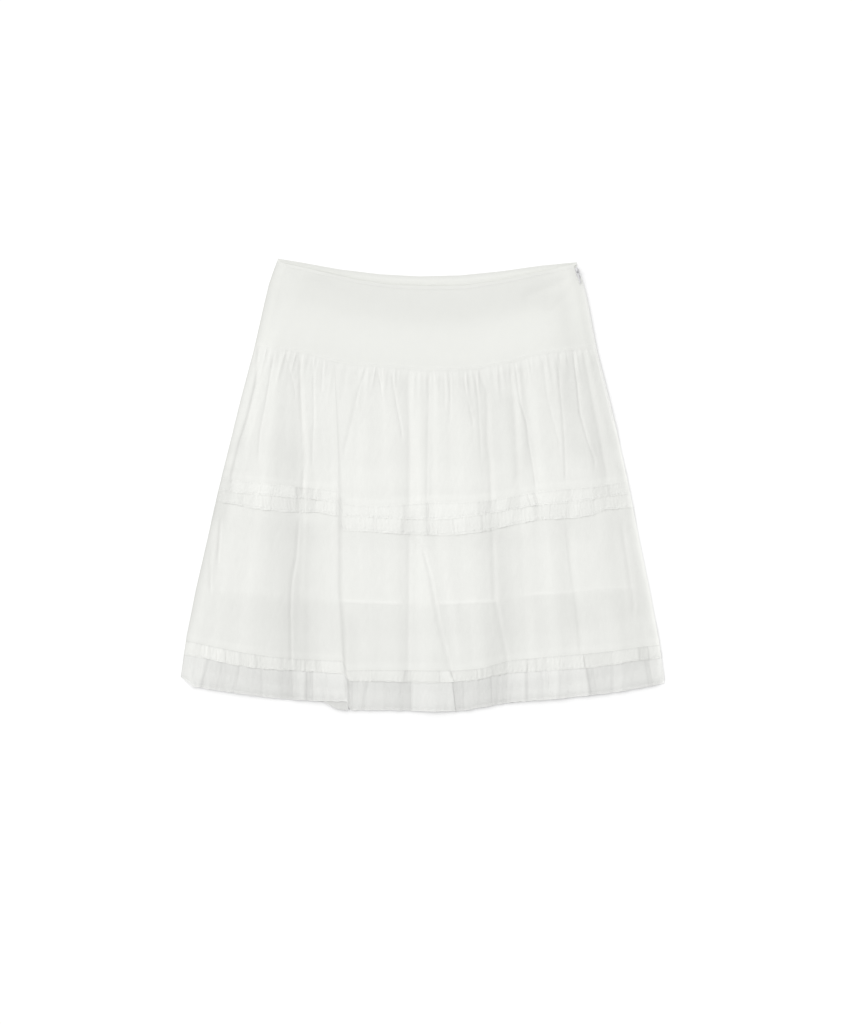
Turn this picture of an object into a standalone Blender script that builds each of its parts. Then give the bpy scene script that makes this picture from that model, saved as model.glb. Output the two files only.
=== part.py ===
"""A tiered ruffle skirt laid flat, front side up, as solid walls of cloth.

+X is to the right of the front as seen from above, +Y is towards the waist and +Z is up. The origin is
on the surface that the skirt lies on, under the middle of its outline. All tables are in millimetres.

The front is one folded surface, front_point(s, y). Its columns s run across the cloth from the left side
seam to the right one, one whole number for each row of FOLDS, and y runs up the skirt. The tiers, frills
and ruffle are walls cut from that surface, or moved out from it. The back lies flat beneath.
"""

import math
from collections import namedtuple

import bmesh
import bpy
import numpy as np

MM = 0.001

# Walls and gaps.
CLOTH_WALL = 1.2
LINING_WALL = 1.0
SEAM_GAP = 0.3
LAYER_GAP = 0.6
LINING_GAP = 0.4

# The stack from the surface up: back, back lining, front lining, front. At the side seams the front
# comes down onto the back, over SEAM_ROLL.
FRILL_STEP = CLOTH_WALL + SEAM_GAP
LINING_STEP = 2 * LINING_WALL + LAYER_GAP + LINING_GAP
FRONT_MID = CLOTH_WALL + LAYER_GAP + CLOTH_WALL / 2
SEAM_MID = CLOTH_WALL + SEAM_GAP + CLOTH_WALL / 2
SEAM_ROLL = 5.0

# What is sewn on: how far its top is tucked under what covers it, and how far off its cloth it lies.
RUFFLE_TUCK = 3.0
FRILL_TUCK = 3.0
FRILL_OUT = CLOTH_WALL + SEAM_GAP + 0.1
UPPER_FRILL_OUT = FRILL_STEP + 0.3

# The outline, which front and back share.
Side = namedtuple("Side", "y left right")
SIDES = [
    Side(-240.0, -283.0, 283.0),
    Side(-223.5, -283.0, 283.0),
    Side(-179.0, -276.7, 276.5),
    Side(-122.8, -265.6, 266.2),
    Side(-66.7, -252.7, 254.5),
    Side(-10.5, -240.2, 243.5),
    Side(45.6, -226.4, 231.7),
    Side(101.8, -212.6, 218.4),
    Side(157.9, -197.7, 204.2),
    Side(214.1, -185.0, 193.6),
    Side(235.0, -180.0, 188.6),
    Side(249.0, -175.3, 183.8),
    Side(265.6, -169.1, 179.2),
]

# Lines across the skirt, as (x, y) points.
WAIST_FRONT = [(-168, 262), (-157, 258.6), (-118, 249.7), (-76, 240), (-33, 234), (9, 232.8),
               (51, 233.4), (93, 239.8), (163, 255), (178, 259)]
WAIST_BACK = [(-169, 265.3), (-143, 261), (-97, 252.7), (-50, 247), (-3, 244.5), (44, 245.7),
              (91, 250.4), (138, 257), (179, 261)]
YOKE_SEAM = [(-195, 163), (-167, 159), (-132, 152.7), (-106, 144.5), (-88, 140.6), (-52, 138),
             (9, 133.4), (32, 133.4), (67, 135.7), (113, 145), (127, 151), (178, 158), (203, 161.5)]

# The fold's cloth lies over the cloth to its right, which hangs lower there, so lines across the tiers
# come in two runs, left and right of it.
Line = namedtuple("Line", "left right")
BAND_TOP = Line(
    [(-238, 9.4), (-213, 4.7), (-178, 1.2), (-132, -3.5), (-95, -7)],
    [(-95, -21), (-73, -24.6), (-44, -24.6), (-15, -22.2), (15, -19.9), (67, -19.9), (97, -15.2),
     (126, -9.4), (161, -4.7), (200, -2.3), (242, 4.7)],
)
BAND_MIDDLE = Line(
    [(-242, -5.8), (-229, -8.2), (-173, -12.9), (-120, -17.5), (-95, -21)],
    [(-95, -36.3), (-73, -37.4), (-26, -39.4), (15, -40.9), (50, -37.8), (97, -30.4), (138, -22.8),
     (190, -20), (208, -14), (245, -10.5)],
)
BAND_FOOT = Line(
    [(-244, -19), (-216, -23), (-197, -28), (-149, -32.8), (-125, -31.5), (-95, -37.4)],
    [(-95, -53.8), (-61, -54.6), (-18, -57.9), (30, -59.3), (72, -55), (100, -48), (135, -40.5),
     (180, -38.6), (198, -36), (208, -29.8), (247, -25.7)],
)
HEM_TOP = Line(
    [(-277, -182.5), (-250, -187.9), (-220, -194.2), (-187, -200.1), (-154, -203.6), (-93, -205.9)],
    [(-93, -217.4), (-61, -216.6), (37, -217.4), (68, -215), (100, -205.9), (145, -201.2), (205, -196.6),
     (256, -189.5), (278, -187.2)],
)
HEM_MIDDLE = Line(
    [(-280, -198.3), (-250, -203.2), (-232, -208.4), (-190, -215.3), (-139, -217.5), (-93, -220.7)],
    [(-92, -229.3), (-42, -229.9), (9, -231.7), (57, -229.3), (100, -219.9), (160, -216.1), (205, -213.2),
     (245, -206.4), (281, -202.4)],
)
HEM_FOOT = Line(
    [(-283, -224.6), (-270, -234.7), (-224, -242.7), (-170, -249.9), (-125, -252.7), (-88, -253.2)],
    [(-105, -261.5), (-91, -263.2), (-31, -263.4), (9, -265.1), (46, -264.4), (100, -254.6), (156, -250.4),
     (225, -242.7), (270, -234.7), (283, -231.7)],
)
LINING_HEM = [(-266, -122.8), (-91, -138), (-25, -140.4), (23, -140.4), (83, -138), (126, -130),
              (173, -127.5), (208, -123), (267, -120.5)]
LINING_INSET = 10.0

# The back's frill bands, which the back and all above it ride over. The cloth comes down again over FADE
# above them and over RUFFLE_FADE on the ruffle below the hem's.
BACK_BAND_MIDDLE = -27.0
BACK_BAND_LIFT = 19.0
BACK_BAND_HALF = 17.0
BACK_HEM_MIDDLE = -258.0
BACK_HEM_LIFT = 34.0
BACK_RUFFLE_DEPTH = 33.0
HEM_FRILL_DEPTH = 14.0
FADE = 36.0
RUFFLE_FADE = 18.0

# The folds of the front, from the left side seam to the right one. seam, band and hem say where each
# one stands across the skirt at those heights, and the rises how far its cloth stands up there.
# A row that stands low is a trough and one that stands high a crest.
FOLD_AT = (-250.0, -20.0, 140.0)
RISE_AT = (-250.0, -135.0, -20.0, 64.0, 140.0)
Fold = namedtuple("Fold", "name seam band hem rise_seam rise_tier rise_band rise_low rise_hem")
FOLDS = [
    Fold("left_edge", -199, -242, -283, 0.0, 0.0, 0.0, 0.0, 0.0),
    Fold("left_roll", -194, -234, -272, 0.6, 1.0, 0.8, 1.2, 1.0),
    Fold("left_trough", -190, -225, -262, 0.2, 0.2, 0.4, 0.6, 0.5),
    Fold("left_crest", -183, -213, -247, 0.9, 2.3, 1.4, 2.0, 1.6),
    Fold("thin_trough", -176, -198, -229, 0.4, 1.2, 0.9, 1.2, 0.9),
    Fold("broad_crest", -167, -184, -209, 1.0, 2.5, 1.6, 2.4, 1.8),
    Fold("broad_trough", -155, -162, -181, 0.4, 0.4, 0.3, 1.0, 0.6),
    Fold("deep_trough", -146, -144, -154, 0.2, 0.1, 0.2, 0.1, 0.1),
    Fold("near_crest", -138, -134, -139, 0.9, 2.5, 1.7, 1.6, 1.4),
    Fold("near_trough", -128, -124, -122, 0.5, 1.6, 1.5, 2.4, 1.9),
    Fold("fold_crest", -114, -107, -103, 1.4, 3.7, 3.2, 4.2, 4.4),
    Fold("fold_edge", -103, -95, -88.5, 1.5, 4.0, 4.0, 4.6, 4.8),
    Fold("fold_foot", -103, -95, -88.5, 0.3, 0.2, 0.3, 0.3, 0.3),
    Fold("slant_trough", -76, -84, -77, 0.2, 0.5, 0.5, 0.7, 0.6),
    Fold("slant_crest", -61, -68, -62, 1.0, 1.9, 1.3, 1.3, 1.3),
    Fold("thin_trough_2", -51, -46, -48, 0.3, 1.0, 0.9, 1.0, 0.8),
    Fold("low_crest", -42, -34, -34, 0.9, 1.7, 1.3, 1.4, 1.4),
    Fold("ridge_trough", -29, -19, -20, 0.1, 0.1, 0.2, 0.2, 0.3),
    Fold("middle_ridge", -14, -11, 4, 1.2, 3.1, 2.3, 2.9, 2.8),
    Fold("diagonal", 5, 2, 38, 0.3, 1.1, 0.9, 0.4, 0.3),
    Fold("middle_crest", 19, 22, 53, 1.0, 2.2, 1.5, 1.7, 1.6),
    Fold("middle_trough", 34, 36, 64, 0.3, 1.3, 1.2, 1.3, 1.2),
    Fold("middle_crest_2", 48, 52, 75, 0.9, 2.0, 1.6, 1.9, 1.7),
    Fold("deep_trough_2", 67, 78, 90, 0.1, 0.1, 0.3, 0.1, 0.1),
    Fold("sharp_crest", 81, 89, 103, 1.2, 2.2, 1.5, 0.5, 0.4),
    Fold("broad_trough_2", 96, 103, 116, 0.2, 0.3, 0.5, 0.6, 0.4),
    Fold("right_crest", 104, 117, 133, 1.0, 2.5, 1.8, 2.2, 1.9),
    Fold("right_trough", 112, 132, 150, 0.3, 0.9, 1.0, 1.7, 1.4),
    Fold("right_crest_2", 129, 146, 163, 1.1, 2.7, 1.8, 2.4, 2.0),
    Fold("right_trough_2", 149, 163, 178, 0.2, 0.4, 0.7, 0.5, 0.4),
    Fold("right_crest_3", 163, 178, 198, 0.9, 1.9, 1.4, 2.3, 2.0),
    Fold("side_trough", 176, 198, 222, 0.2, 0.5, 0.7, 1.5, 1.1),
    Fold("side_crest", 183, 211, 236, 0.9, 1.9, 1.4, 2.1, 1.8),
    Fold("side_trough_2", 189, 223, 251, 0.2, 0.5, 0.7, 0.8, 0.7),
    Fold("right_roll", 196, 233, 267, 0.6, 1.1, 0.9, 1.2, 1.0),
    Fold("right_edge", 206, 245, 283, 0.0, 0.0, 0.0, 0.0, 0.0),
]
FOLD_NAMES = [fold.name for fold in FOLDS]
FOLD_EDGE = FOLD_NAMES.index("fold_edge")
LAST = len(FOLDS) - 1
HALF_AT_BAND = 242.0
HALF_AT_HEM = FOLDS[LAST].hem

# The yoke's rows, as shares of its height from the waist down, its low crown, and the slope by which it
# comes up onto the lining above its lower seam.
YOKE_ROWS = (0.0, 0.06, 0.16, 0.34, 0.54, 0.7, 0.82, 0.92, 1.0)
YOKE_CROWN = 1.2
YOKE_CROWN_EDGE = 70.0
YOKE_SLOPE = 52.0

# The big fold's edge is a round turn out and a wider round turn back.
TURN_OUT_RADIUS = 1.3
TURN_BACK_RADIUS = 4.4
TURN_FACETS = 6
FOLD_EDGE_SHEAR = 5.0

# One small gather lies between each two folds, and one wave of each frill and of the ruffle.
COLUMNS_A_GATHER = 3
COLUMNS_LOWER_TIER = 2
BACK_COLUMNS = 14
LINING_COLUMNS = 10
FADE_ROWS = (3.0, 14.0, 28.0, 40.0)
RUFFLE_FADE_ROWS = (2.0, 9.0, 20.0)
GATHER_RISE = (0.6, 1.7)
FRILL_RISE = (0.5, 1.5)
RUFFLE_RISE = (1.2, 3.6)
STEEPEST_WAVE = 0.26

# Zip: tape and coil in the right side seam, slider at its top, pull tab hinged on the slider's bail.
ZIP_END = 75.0
TAPE_WIDTH = 8.0
TAPE_WALL = 1.0
COIL_RADIUS = 0.9
SLIDER_AT = (181.4, 251.0)
SLIDER_TURN = math.radians(14.0)
SLIDER_WIDTH = 4.0
SLIDER_LENGTH = 7.6
SLIDER_HEIGHT = 3.5
SLIDER_BOTTOM = 0.5
SLIDER_TOP = SLIDER_BOTTOM + SLIDER_HEIGHT
SLIDER_NOTCH = 5.3
NOTCH_MARGIN = 1.4
NOTCH_FADE = 8.0
BAIL_REACH = 2.2
BAIL_HEIGHT = 2.5
BAIL_WIDTH = 1.4
BAIL_WALL = 0.7
BAIL_ROOT = 0.4
PIN_HEIGHT = 1.1
PULL_LENGTH = 15.0
PULL_WALL = 0.9
PULL_HEAD_WIDTH = 3.9
PULL_BLADE_WIDTH = 2.5
PULL_WINDOW_WIDTH = 2.3
PULL_WINDOW_END = 3.3
PULL_SHOULDER = 1.4


# ---------------------------------------------------------------- small helpers

def smooth(t):
    """0 before t = 0, 1 after t = 1, and an even S between."""
    t = min(1.0, max(0.0, t))
    return t * t * (3 - 2 * t)


def blend(a, b, t):
    return a + (b - a) * t


def read_line(points, x):
    return float(np.interp(x, [p[0] for p in points], [p[1] for p in points]))


def uneven(index, low, high):
    """A fixed, uneven value between low and high for the wave of this number."""
    return low + (high - low) * ((index * 0.618034 + 0.37) % 1.0)


def left_side(y):
    return float(np.interp(y, [s.y for s in SIDES], [s.left for s in SIDES]))


def right_side(y):
    return float(np.interp(y, [s.y for s in SIDES], [s.right for s in SIDES]))


# ---------------------------------------------------------------- the stack under the front

def back_band(x):
    """Middle of the back's frill band, which curves up to the sides."""
    return BACK_BAND_MIDDLE + BACK_BAND_LIFT * (x / HALF_AT_BAND) ** 2


def back_hem_foot(x):
    """The back's lowest edge, a little higher than the front's."""
    return BACK_HEM_MIDDLE + BACK_HEM_LIFT * (abs(x) / HALF_AT_HEM) ** 2.4


def back_hem_frill_foot(x):
    return back_hem_foot(x) + BACK_RUFFLE_DEPTH


def back_hem_frill_top(x):
    return back_hem_frill_foot(x) + HEM_FRILL_DEPTH


def back_rise(x, y):
    """How far the layers stand up where the back lies on its own frills."""
    band = 1 - smooth((abs(y - back_band(x)) - BACK_BAND_HALF - 1) / FADE)
    above = (y - back_hem_frill_top(x) - 1) / FADE
    beneath = (back_hem_frill_foot(x) - 2 - y) / RUFFLE_FADE
    hem = 1 - smooth(max(above, beneath))
    return FRILL_STEP * max(band, hem)


def from_side(x, y):
    """Distance to the nearer side seam."""
    return min(x - left_side(y), right_side(y) - x)


def above_seam(x, y):
    """Middle of the front's wall with nothing but the back beneath it."""
    return blend(SEAM_MID, FRONT_MID, smooth(from_side(x, y) / SEAM_ROLL))


def lining_side(x, y):
    """1 where the lining is, 0 in the strip beside the side seams that it doesn't reach."""
    return smooth((from_side(x, y) - 0.5) / (LINING_INSET - 2.5))


def lining_cover(x, y):
    """1 over the lining, 0 at the side seams and below the lining's hem."""
    past_hem = read_line(LINING_HEM, x) - y
    return lining_side(x, y) * (1 - smooth((past_hem - 8.0) / 34.0))


def zip_room(x, y):
    """Extra height over the zip's tape, along the right side."""
    inward = right_side(y) - x
    along = smooth((y - ZIP_END + 36.0) / 30.0)
    return (TAPE_WALL + SEAM_GAP) * along * (1 - smooth((inward - TAPE_WIDTH - 2) / 9.0))


def front_base(x, y):
    """Middle of the front's wall before its folds are added."""
    return above_seam(x, y) + back_rise(x, y) + zip_room(x, y) + LINING_STEP * lining_cover(x, y)


# ---------------------------------------------------------------- the folded front

def fold_x(i, y):
    if i == 0:
        return left_side(y)
    if i == LAST:
        return right_side(y)
    f = FOLDS[i]
    return float(np.interp(y, FOLD_AT, (f.hem, f.band, f.seam)))


def fold_rise(i, y):
    f = FOLDS[i]
    return float(np.interp(y, RISE_AT, (f.rise_hem, f.rise_low, f.rise_band, f.rise_tier, f.rise_seam)))


def turn(y):
    """The big fold's edge at this height: angle that its cloth turns through, and its start and end in x."""
    drop = fold_rise(FOLD_EDGE, y) - fold_rise(FOLD_EDGE + 1, y)
    angle = math.acos(1 - drop / (TURN_OUT_RADIUS + TURN_BACK_RADIUS))
    start = fold_x(FOLD_EDGE, y) - TURN_OUT_RADIUS * math.sin(min(angle, math.pi / 2))
    return angle, start, start + (TURN_OUT_RADIUS + TURN_BACK_RADIUS) * math.sin(angle)


def column_x(i, y):
    """Where whole column i stands. Those on each side of the big fold's edge stand at its ends."""
    if i in (FOLD_EDGE, FOLD_EDGE + 1):
        return turn(y)[1 + i - FOLD_EDGE]
    return fold_x(i, y)


def line_y(line, s):
    """Height of a line across the front at column s. It is straight between whole columns."""
    i = min(int(s), LAST - 1)
    ends = []
    for k in (i, i + 1):
        points = line
        if isinstance(line, Line):
            points = line.left if k <= FOLD_EDGE else line.right
        y = points[0][1]
        for _ in range(3):
            y = read_line(points, column_x(k, y))
        ends.append(y)
    return blend(ends[0], ends[1], s - i)


def gather(s, y):
    """The small gathers that spring from the yoke seam and die out below it."""
    i = min(int(s), LAST - 1)
    below = line_y(YOKE_SEAM, s) - y
    width = abs(fold_x(i + 1, y) - fold_x(i, y))
    rise = min(uneven(i, *GATHER_RISE), STEEPEST_WAVE * width)
    reach = uneven(i + 5, 45.0, 90.0)
    grown = blend(0.45, 1.0, smooth(below / 12.0)) * (1 - smooth(below / reach))
    return rise * grown * (1 - math.cos(2 * math.pi * (s - i))) / 2


def front_mid(s, y):
    """(x, z) of the middle of the front's wall at column s."""
    i = min(int(s), LAST - 1)
    t = s - i
    angle, start, end = turn(y)
    if i == FOLD_EDGE:
        top = front_base(start, y) + fold_rise(i, y)
        total = 2 * angle * t
        out = min(total, angle)
        back = total - out
        x = start + TURN_OUT_RADIUS * math.sin(out)
        z = top - TURN_OUT_RADIUS * (1 - math.cos(out))
        x += TURN_BACK_RADIUS * (math.sin(angle) - math.sin(angle - back))
        z -= TURN_BACK_RADIUS * (math.cos(angle - back) - math.cos(angle))
        shift = front_base(end, y) - front_base(start, y)
        return x, z + shift * t
    x = blend(column_x(i, y), column_x(i + 1, y), t)
    rise = blend(fold_rise(i, y), fold_rise(i + 1, y), (1 - math.cos(math.pi * t)) / 2)
    return x, front_base(x, y) + rise + gather(s, y)


def front_point(s, y, out=0.0):
    """A point of the front, moved out of its surface by a distance."""
    x, z = front_mid(s, y)
    if out:
        h = 0.02
        x0, z0 = front_mid(max(0.0, s - h), y)
        x1, z1 = front_mid(min(float(LAST), s + h), y)
        length = math.hypot(x1 - x0, z1 - z0)
        x -= out * (z1 - z0) / length
        z += out * (x1 - x0) / length
    return x, y, z


def columns(a_gather):
    values = []
    for i in range(LAST):
        n = TURN_FACETS if i == FOLD_EDGE else a_gather
        values += [i + k / n for k in range(n)]
    return values + [float(LAST)]


def wave(s, y, phase, rises, number):
    """A frill's own wave at column s, one for each fold."""
    if FOLD_EDGE <= s <= FOLD_EDGE + 1:
        return 0.0
    i = min(int(s), LAST - 1)
    width = abs(fold_x(i + 1, y) - fold_x(i, y))
    rise = min(uneven(i + number, *rises), STEEPEST_WAVE * width)
    return rise * (1 - math.cos(2 * math.pi * (s - i + phase))) / 2


# ---------------------------------------------------------------- solids

def cloth_material(name, colour):
    material = bpy.data.materials.new(name)
    material.use_nodes = True
    shader = material.node_tree.nodes["Principled BSDF"]
    shader.inputs["Base Color"].default_value = (*colour, 1.0)
    shader.inputs["Roughness"].default_value = 0.9
    return material


def metal_material(name, colour):
    material = cloth_material(name, colour)
    shader = material.node_tree.nodes["Principled BSDF"]
    shader.inputs["Metallic"].default_value = 1.0
    shader.inputs["Roughness"].default_value = 0.35
    return material


def add_object(name, mesh, material):
    mesh.materials.append(material)
    mesh.shade_smooth()
    mesh.set_sharp_from_angle(angle=math.radians(50))
    obj = bpy.data.objects.new(name, mesh)
    bpy.context.scene.collection.objects.link(obj)
    return obj


def wall(name, rows, thickness, material):
    """A closed wall of cloth round a grid of middle points, in millimetres, row by row down the piece.
    Its faces are moved out and in square to each row, so that a row keeps its height y."""
    mid = np.array(rows)
    across = np.gradient(mid, axis=1)
    length = np.hypot(across[..., 0], across[..., 2])
    normal = np.zeros_like(mid)
    normal[..., 0] = -across[..., 2] / length
    normal[..., 2] = across[..., 0] / length
    outer, inner = mid + normal * thickness / 2, mid - normal * thickness / 2
    n_rows, n_cols = mid.shape[:2]
    points = np.concatenate([outer.reshape(-1, 3), inner.reshape(-1, 3)]) * MM

    def vertex(side, r, c):
        return side * n_rows * n_cols + r * n_cols + c

    faces = []
    for r in range(n_rows - 1):
        for c in range(n_cols - 1):
            square = [(r, c), (r + 1, c), (r + 1, c + 1), (r, c + 1)]
            faces.append([vertex(0, *p) for p in square])
            faces.append([vertex(1, *p) for p in reversed(square)])
    rim = [(0, c) for c in range(n_cols)] + [(r, n_cols - 1) for r in range(1, n_rows)]
    rim += [(n_rows - 1, c) for c in range(n_cols - 2, -1, -1)] + [(r, 0) for r in range(n_rows - 2, 0, -1)]
    for a, b in zip(rim, rim[1:] + rim[:1]):
        faces.append([vertex(0, *a), vertex(0, *b), vertex(1, *b), vertex(1, *a)])
    mesh = bpy.data.meshes.new(name)
    mesh.from_pydata(points.tolist(), [], faces)
    return add_object(name, mesh, material)


def cut_below(line, s, down):
    """Height of a cut edge this far below a line. Down the big fold's steep edge, where the line drops,
    the edge stands further off, so that the gap square to it stays."""
    on_edge = FOLD_EDGE < s < FOLD_EDGE + 1
    return line_y(line, s) - down * (FOLD_EDGE_SHEAR if on_edge else 1.0)


# ---------------------------------------------------------------- the front's pieces

def yoke_front(material):
    """Plain yoke with a low crown. Its lower edge meets the gathered tier, column by column, and stands
    on the lining there."""
    shares = []
    for i in range(LAST + 1):
        y = line_y(YOKE_SEAM, i)
        shares.append((column_x(i, y) - left_side(y)) / (right_side(y) - left_side(y)))
    rows = []
    for t in YOKE_ROWS:
        row = []
        for i, share in enumerate(shares):
            foot = line_y(YOKE_SEAM, i) + SEAM_GAP / 2
            x = blend(left_side(foot), right_side(foot), share)
            for _ in range(3):
                y = blend(read_line(WAIST_FRONT, x), foot, t)
                x = blend(left_side(y), right_side(y) - slider_notch(y), share)
            on_lining = smooth(1 - (y - foot) / YOKE_SLOPE) * lining_side(x, y)
            crown = YOKE_CROWN * smooth(from_side(x, y) / YOKE_CROWN_EDGE) * smooth(t * 3) * (1 - on_lining)
            row.append((x, y, above_seam(x, y) + zip_room(x, y) + crown + LINING_STEP * on_lining))
        rows.append(row)
    return wall("yoke_front", rows, CLOTH_WALL, material)


def slider_notch(y):
    """How far the side edge stands back to leave room for the slider."""
    past_slider = abs(y - SLIDER_AT[1]) - SLIDER_LENGTH / 2 - NOTCH_MARGIN
    return SLIDER_NOTCH * (1 - smooth(past_slider / NOTCH_FADE))


def upper_tier_front(material):
    """Gathered tier between the yoke and the frill band."""
    def down(s, t):
        return blend(line_y(YOKE_SEAM, s) - SEAM_GAP / 2, line_y(BAND_TOP, s), t)

    cols = columns(COLUMNS_A_GATHER)
    rows = [[front_point(s, down(s, t)) for s in cols] for t in (0.0, 0.04, 0.12, 0.25, 0.5)]
    rows.append([front_point(s, line_y(BAND_TOP, s) + 12.0) for s in cols])
    rows.append([front_point(s, line_y(BAND_TOP, s)) for s in cols])
    rows.append([front_point(s, cut_below(BAND_MIDDLE, s, -SEAM_GAP / 2)) for s in cols])
    return wall("upper_tier_front", rows, CLOTH_WALL, material)


def lower_tier_front(material):
    """Tier from under the frill band down to the ruffle's seam."""
    def down(s, t):
        return blend(line_y(BAND_FOOT, s), line_y(HEM_TOP, s), t)

    cols = columns(COLUMNS_LOWER_TIER)
    rows = [[front_point(s, cut_below(BAND_MIDDLE, s, SEAM_GAP / 2)) for s in cols]]
    rows += [[front_point(s, down(s, t)) for s in cols] for t in (0.0, 0.12, 0.28, 0.48, 0.66, 0.84, 1.0)]
    rows.append([front_point(s, line_y(HEM_MIDDLE, s) + RUFFLE_TUCK + SEAM_GAP) for s in cols])
    return wall("lower_tier_front", rows, CLOTH_WALL, material)


def frill(name, top, foot, material, rises, number, tucked_under=0.0, foot_extra=0.0):
    """A gathered strip sewn on the front along its top line, which stands off towards its foot."""
    cols = columns(COLUMNS_A_GATHER)
    rows = []
    for t in (0.0, 0.45, 1.0):
        row = []
        for s in cols:
            start = line_y(top, s) + tucked_under
            y = blend(start, line_y(foot, s), t)
            out = FRILL_OUT + foot_extra * smooth(t * 1.4)
            out += blend(0.25, 1.0, t) * wave(s, y, 0.25 * (number % 4), rises, number)
            row.append(front_point(s, y, out))
        rows.append(row)
    return wall(name, rows, CLOTH_WALL, material)


def hem_ruffle_front(material):
    """Ruffle below the hem seam, in one wave for each fold."""
    cols = columns(COLUMNS_A_GATHER)
    rows = []
    for t in (0.0, 0.16, 0.5, 1.0):
        row = []
        for s in cols:
            y = blend(line_y(HEM_MIDDLE, s) + RUFFLE_TUCK, line_y(HEM_FOOT, s), t)
            out = smooth((t - 0.1) / 0.9) * wave(s, y, 0.0, RUFFLE_RISE, 11)
            row.append(front_point(s, y, out))
        rows.append(row)
    return wall("hem_ruffle_front", rows, CLOTH_WALL, material)


# ---------------------------------------------------------------- the back and the lining

def flat_piece(name, row_lines, middle, thickness, material,
               inset=0.0, count=BACK_COLUMNS, right_notch=False):
    """A flat-lying piece: rows from functions of x, sides on the outline, height from middle(x, y)."""
    rows = []
    for line in row_lines:
        row = []
        for k in range(count + 1):
            x = blend(-240.0, 240.0, k / count)
            for _ in range(4):
                y = line(x)
                notch = slider_notch(y) if right_notch else 0.0
                x = blend(left_side(y) + inset, right_side(y) - inset - notch, k / count)
            row.append((x, y, middle(x, y)))
        rows.append(row)
    return wall(name, rows, thickness, material)


def between(first, last, t):
    return lambda x: blend(first(x), last(x), t)


def below(line, down):
    return lambda x: line(x) - down


def rows_above(line, distances):
    """Rows above a line, from the furthest down to the nearest."""
    return [below(line, -distance) for distance in reversed(distances)]


def rows_below(line, distances):
    return [below(line, distance) for distance in distances]


def waist_back(x):
    return read_line(WAIST_BACK, x)


def yoke_seam(x):
    return read_line(YOKE_SEAM, x)


def back_mid(x, y):
    return CLOTH_WALL / 2 + back_rise(x, y)


def on_surface(x, y):
    return CLOTH_WALL / 2


def back_band_top(x):
    return back_band(x) + BACK_BAND_HALF


def back_band_foot(x):
    return back_band(x) - BACK_BAND_HALF


def back_ruffle_top(x):
    return back_hem_frill_foot(x) + RUFFLE_TUCK


def back_pieces(cloth, frills):
    """The back's yoke, tiers and ruffle, with its frills beneath them on the surface."""
    flat_piece("yoke_back", [waist_back, below(waist_back, 6), below(waist_back, 16),
                             between(waist_back, yoke_seam, 0.6), below(yoke_seam, -SEAM_GAP / 2)],
               on_surface, CLOTH_WALL, cloth, right_notch=True)
    flat_piece("upper_tier_back", [below(yoke_seam, SEAM_GAP / 2), *rows_above(back_band_top, FADE_ROWS),
                                   below(back_band, -SEAM_GAP / 2)],
               back_mid, CLOTH_WALL, cloth)
    flat_piece("lower_tier_back", [below(back_band, SEAM_GAP / 2), *rows_below(back_band_foot, FADE_ROWS),
                                   *rows_above(back_hem_frill_top, FADE_ROWS),
                                   below(back_ruffle_top, -SEAM_GAP)],
               back_mid, CLOTH_WALL, cloth)
    flat_piece("band_frill_upper_back", [back_band_top, below(back_band, -SEAM_GAP / 2)],
               on_surface, CLOTH_WALL, frills)
    flat_piece("band_frill_lower_back", [below(back_band, SEAM_GAP / 2), back_band_foot],
               on_surface, CLOTH_WALL, frills)
    flat_piece("hem_frill_back", [back_hem_frill_top, back_hem_frill_foot], on_surface, CLOTH_WALL, frills)
    flat_piece("hem_ruffle_back", [back_ruffle_top, *rows_below(back_hem_frill_foot, RUFFLE_FADE_ROWS),
                                   back_hem_foot],
               back_mid, CLOTH_WALL, frills)


def lining_pieces(material):
    """Two plain panels that hang inside from the yoke seam and end above the skirt's hem."""
    def hem(x):
        return read_line(LINING_HEM, x)

    lines = [below(yoke_seam, SEAM_GAP), *rows_above(back_band_top, FADE_ROWS), back_band,
             *rows_below(back_band_foot, FADE_ROWS), hem]
    back_level = CLOTH_WALL + LAYER_GAP + LINING_WALL / 2
    front_level = back_level + LINING_WALL + LINING_GAP
    for name, level in (("lining_back", back_level), ("lining_front", front_level)):
        flat_piece(name, lines, lambda x, y: level + back_rise(x, y), LINING_WALL, material,
                   inset=LINING_INSET, count=LINING_COLUMNS)


# ---------------------------------------------------------------- the zip

def zip_tape(material):
    """Tape between the two yokes with the closed coil as a bead along its outer edge."""
    bead = [(math.cos(a), math.sin(a)) for a in np.linspace(-0.75 * math.pi, 0.75 * math.pi, 9)]
    centre_z = CLOTH_WALL + SEAM_GAP + TAPE_WALL / 2
    section = [(-TAPE_WIDTH, TAPE_WALL / 2), (-TAPE_WIDTH, -TAPE_WALL / 2)]
    section += [(COIL_RADIUS * cx, COIL_RADIUS * 0.72 * cz) for cx, cz in bead]
    bm = bmesh.new()
    rings = []
    for y in np.linspace(SLIDER_AT[1] - SLIDER_LENGTH / 2 - 1.0, ZIP_END, 10):
        edge = right_side(y) - COIL_RADIUS + 0.2
        rings.append([bm.verts.new(((edge + dx) * MM, y * MM, (centre_z + dz) * MM)) for dx, dz in section])
    for a, b in zip(rings, rings[1:]):
        for k in range(len(section)):
            n = (k + 1) % len(section)
            bm.faces.new((a[k], a[n], b[n], b[k]))
    bm.faces.new(list(reversed(rings[0])))
    bm.faces.new(rings[-1])
    bmesh.ops.recalc_face_normals(bm, faces=bm.faces)
    mesh = bpy.data.meshes.new("zip_tape")
    bm.to_mesh(mesh)
    bm.free()
    return add_object("zip_tape", mesh, material)


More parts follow.
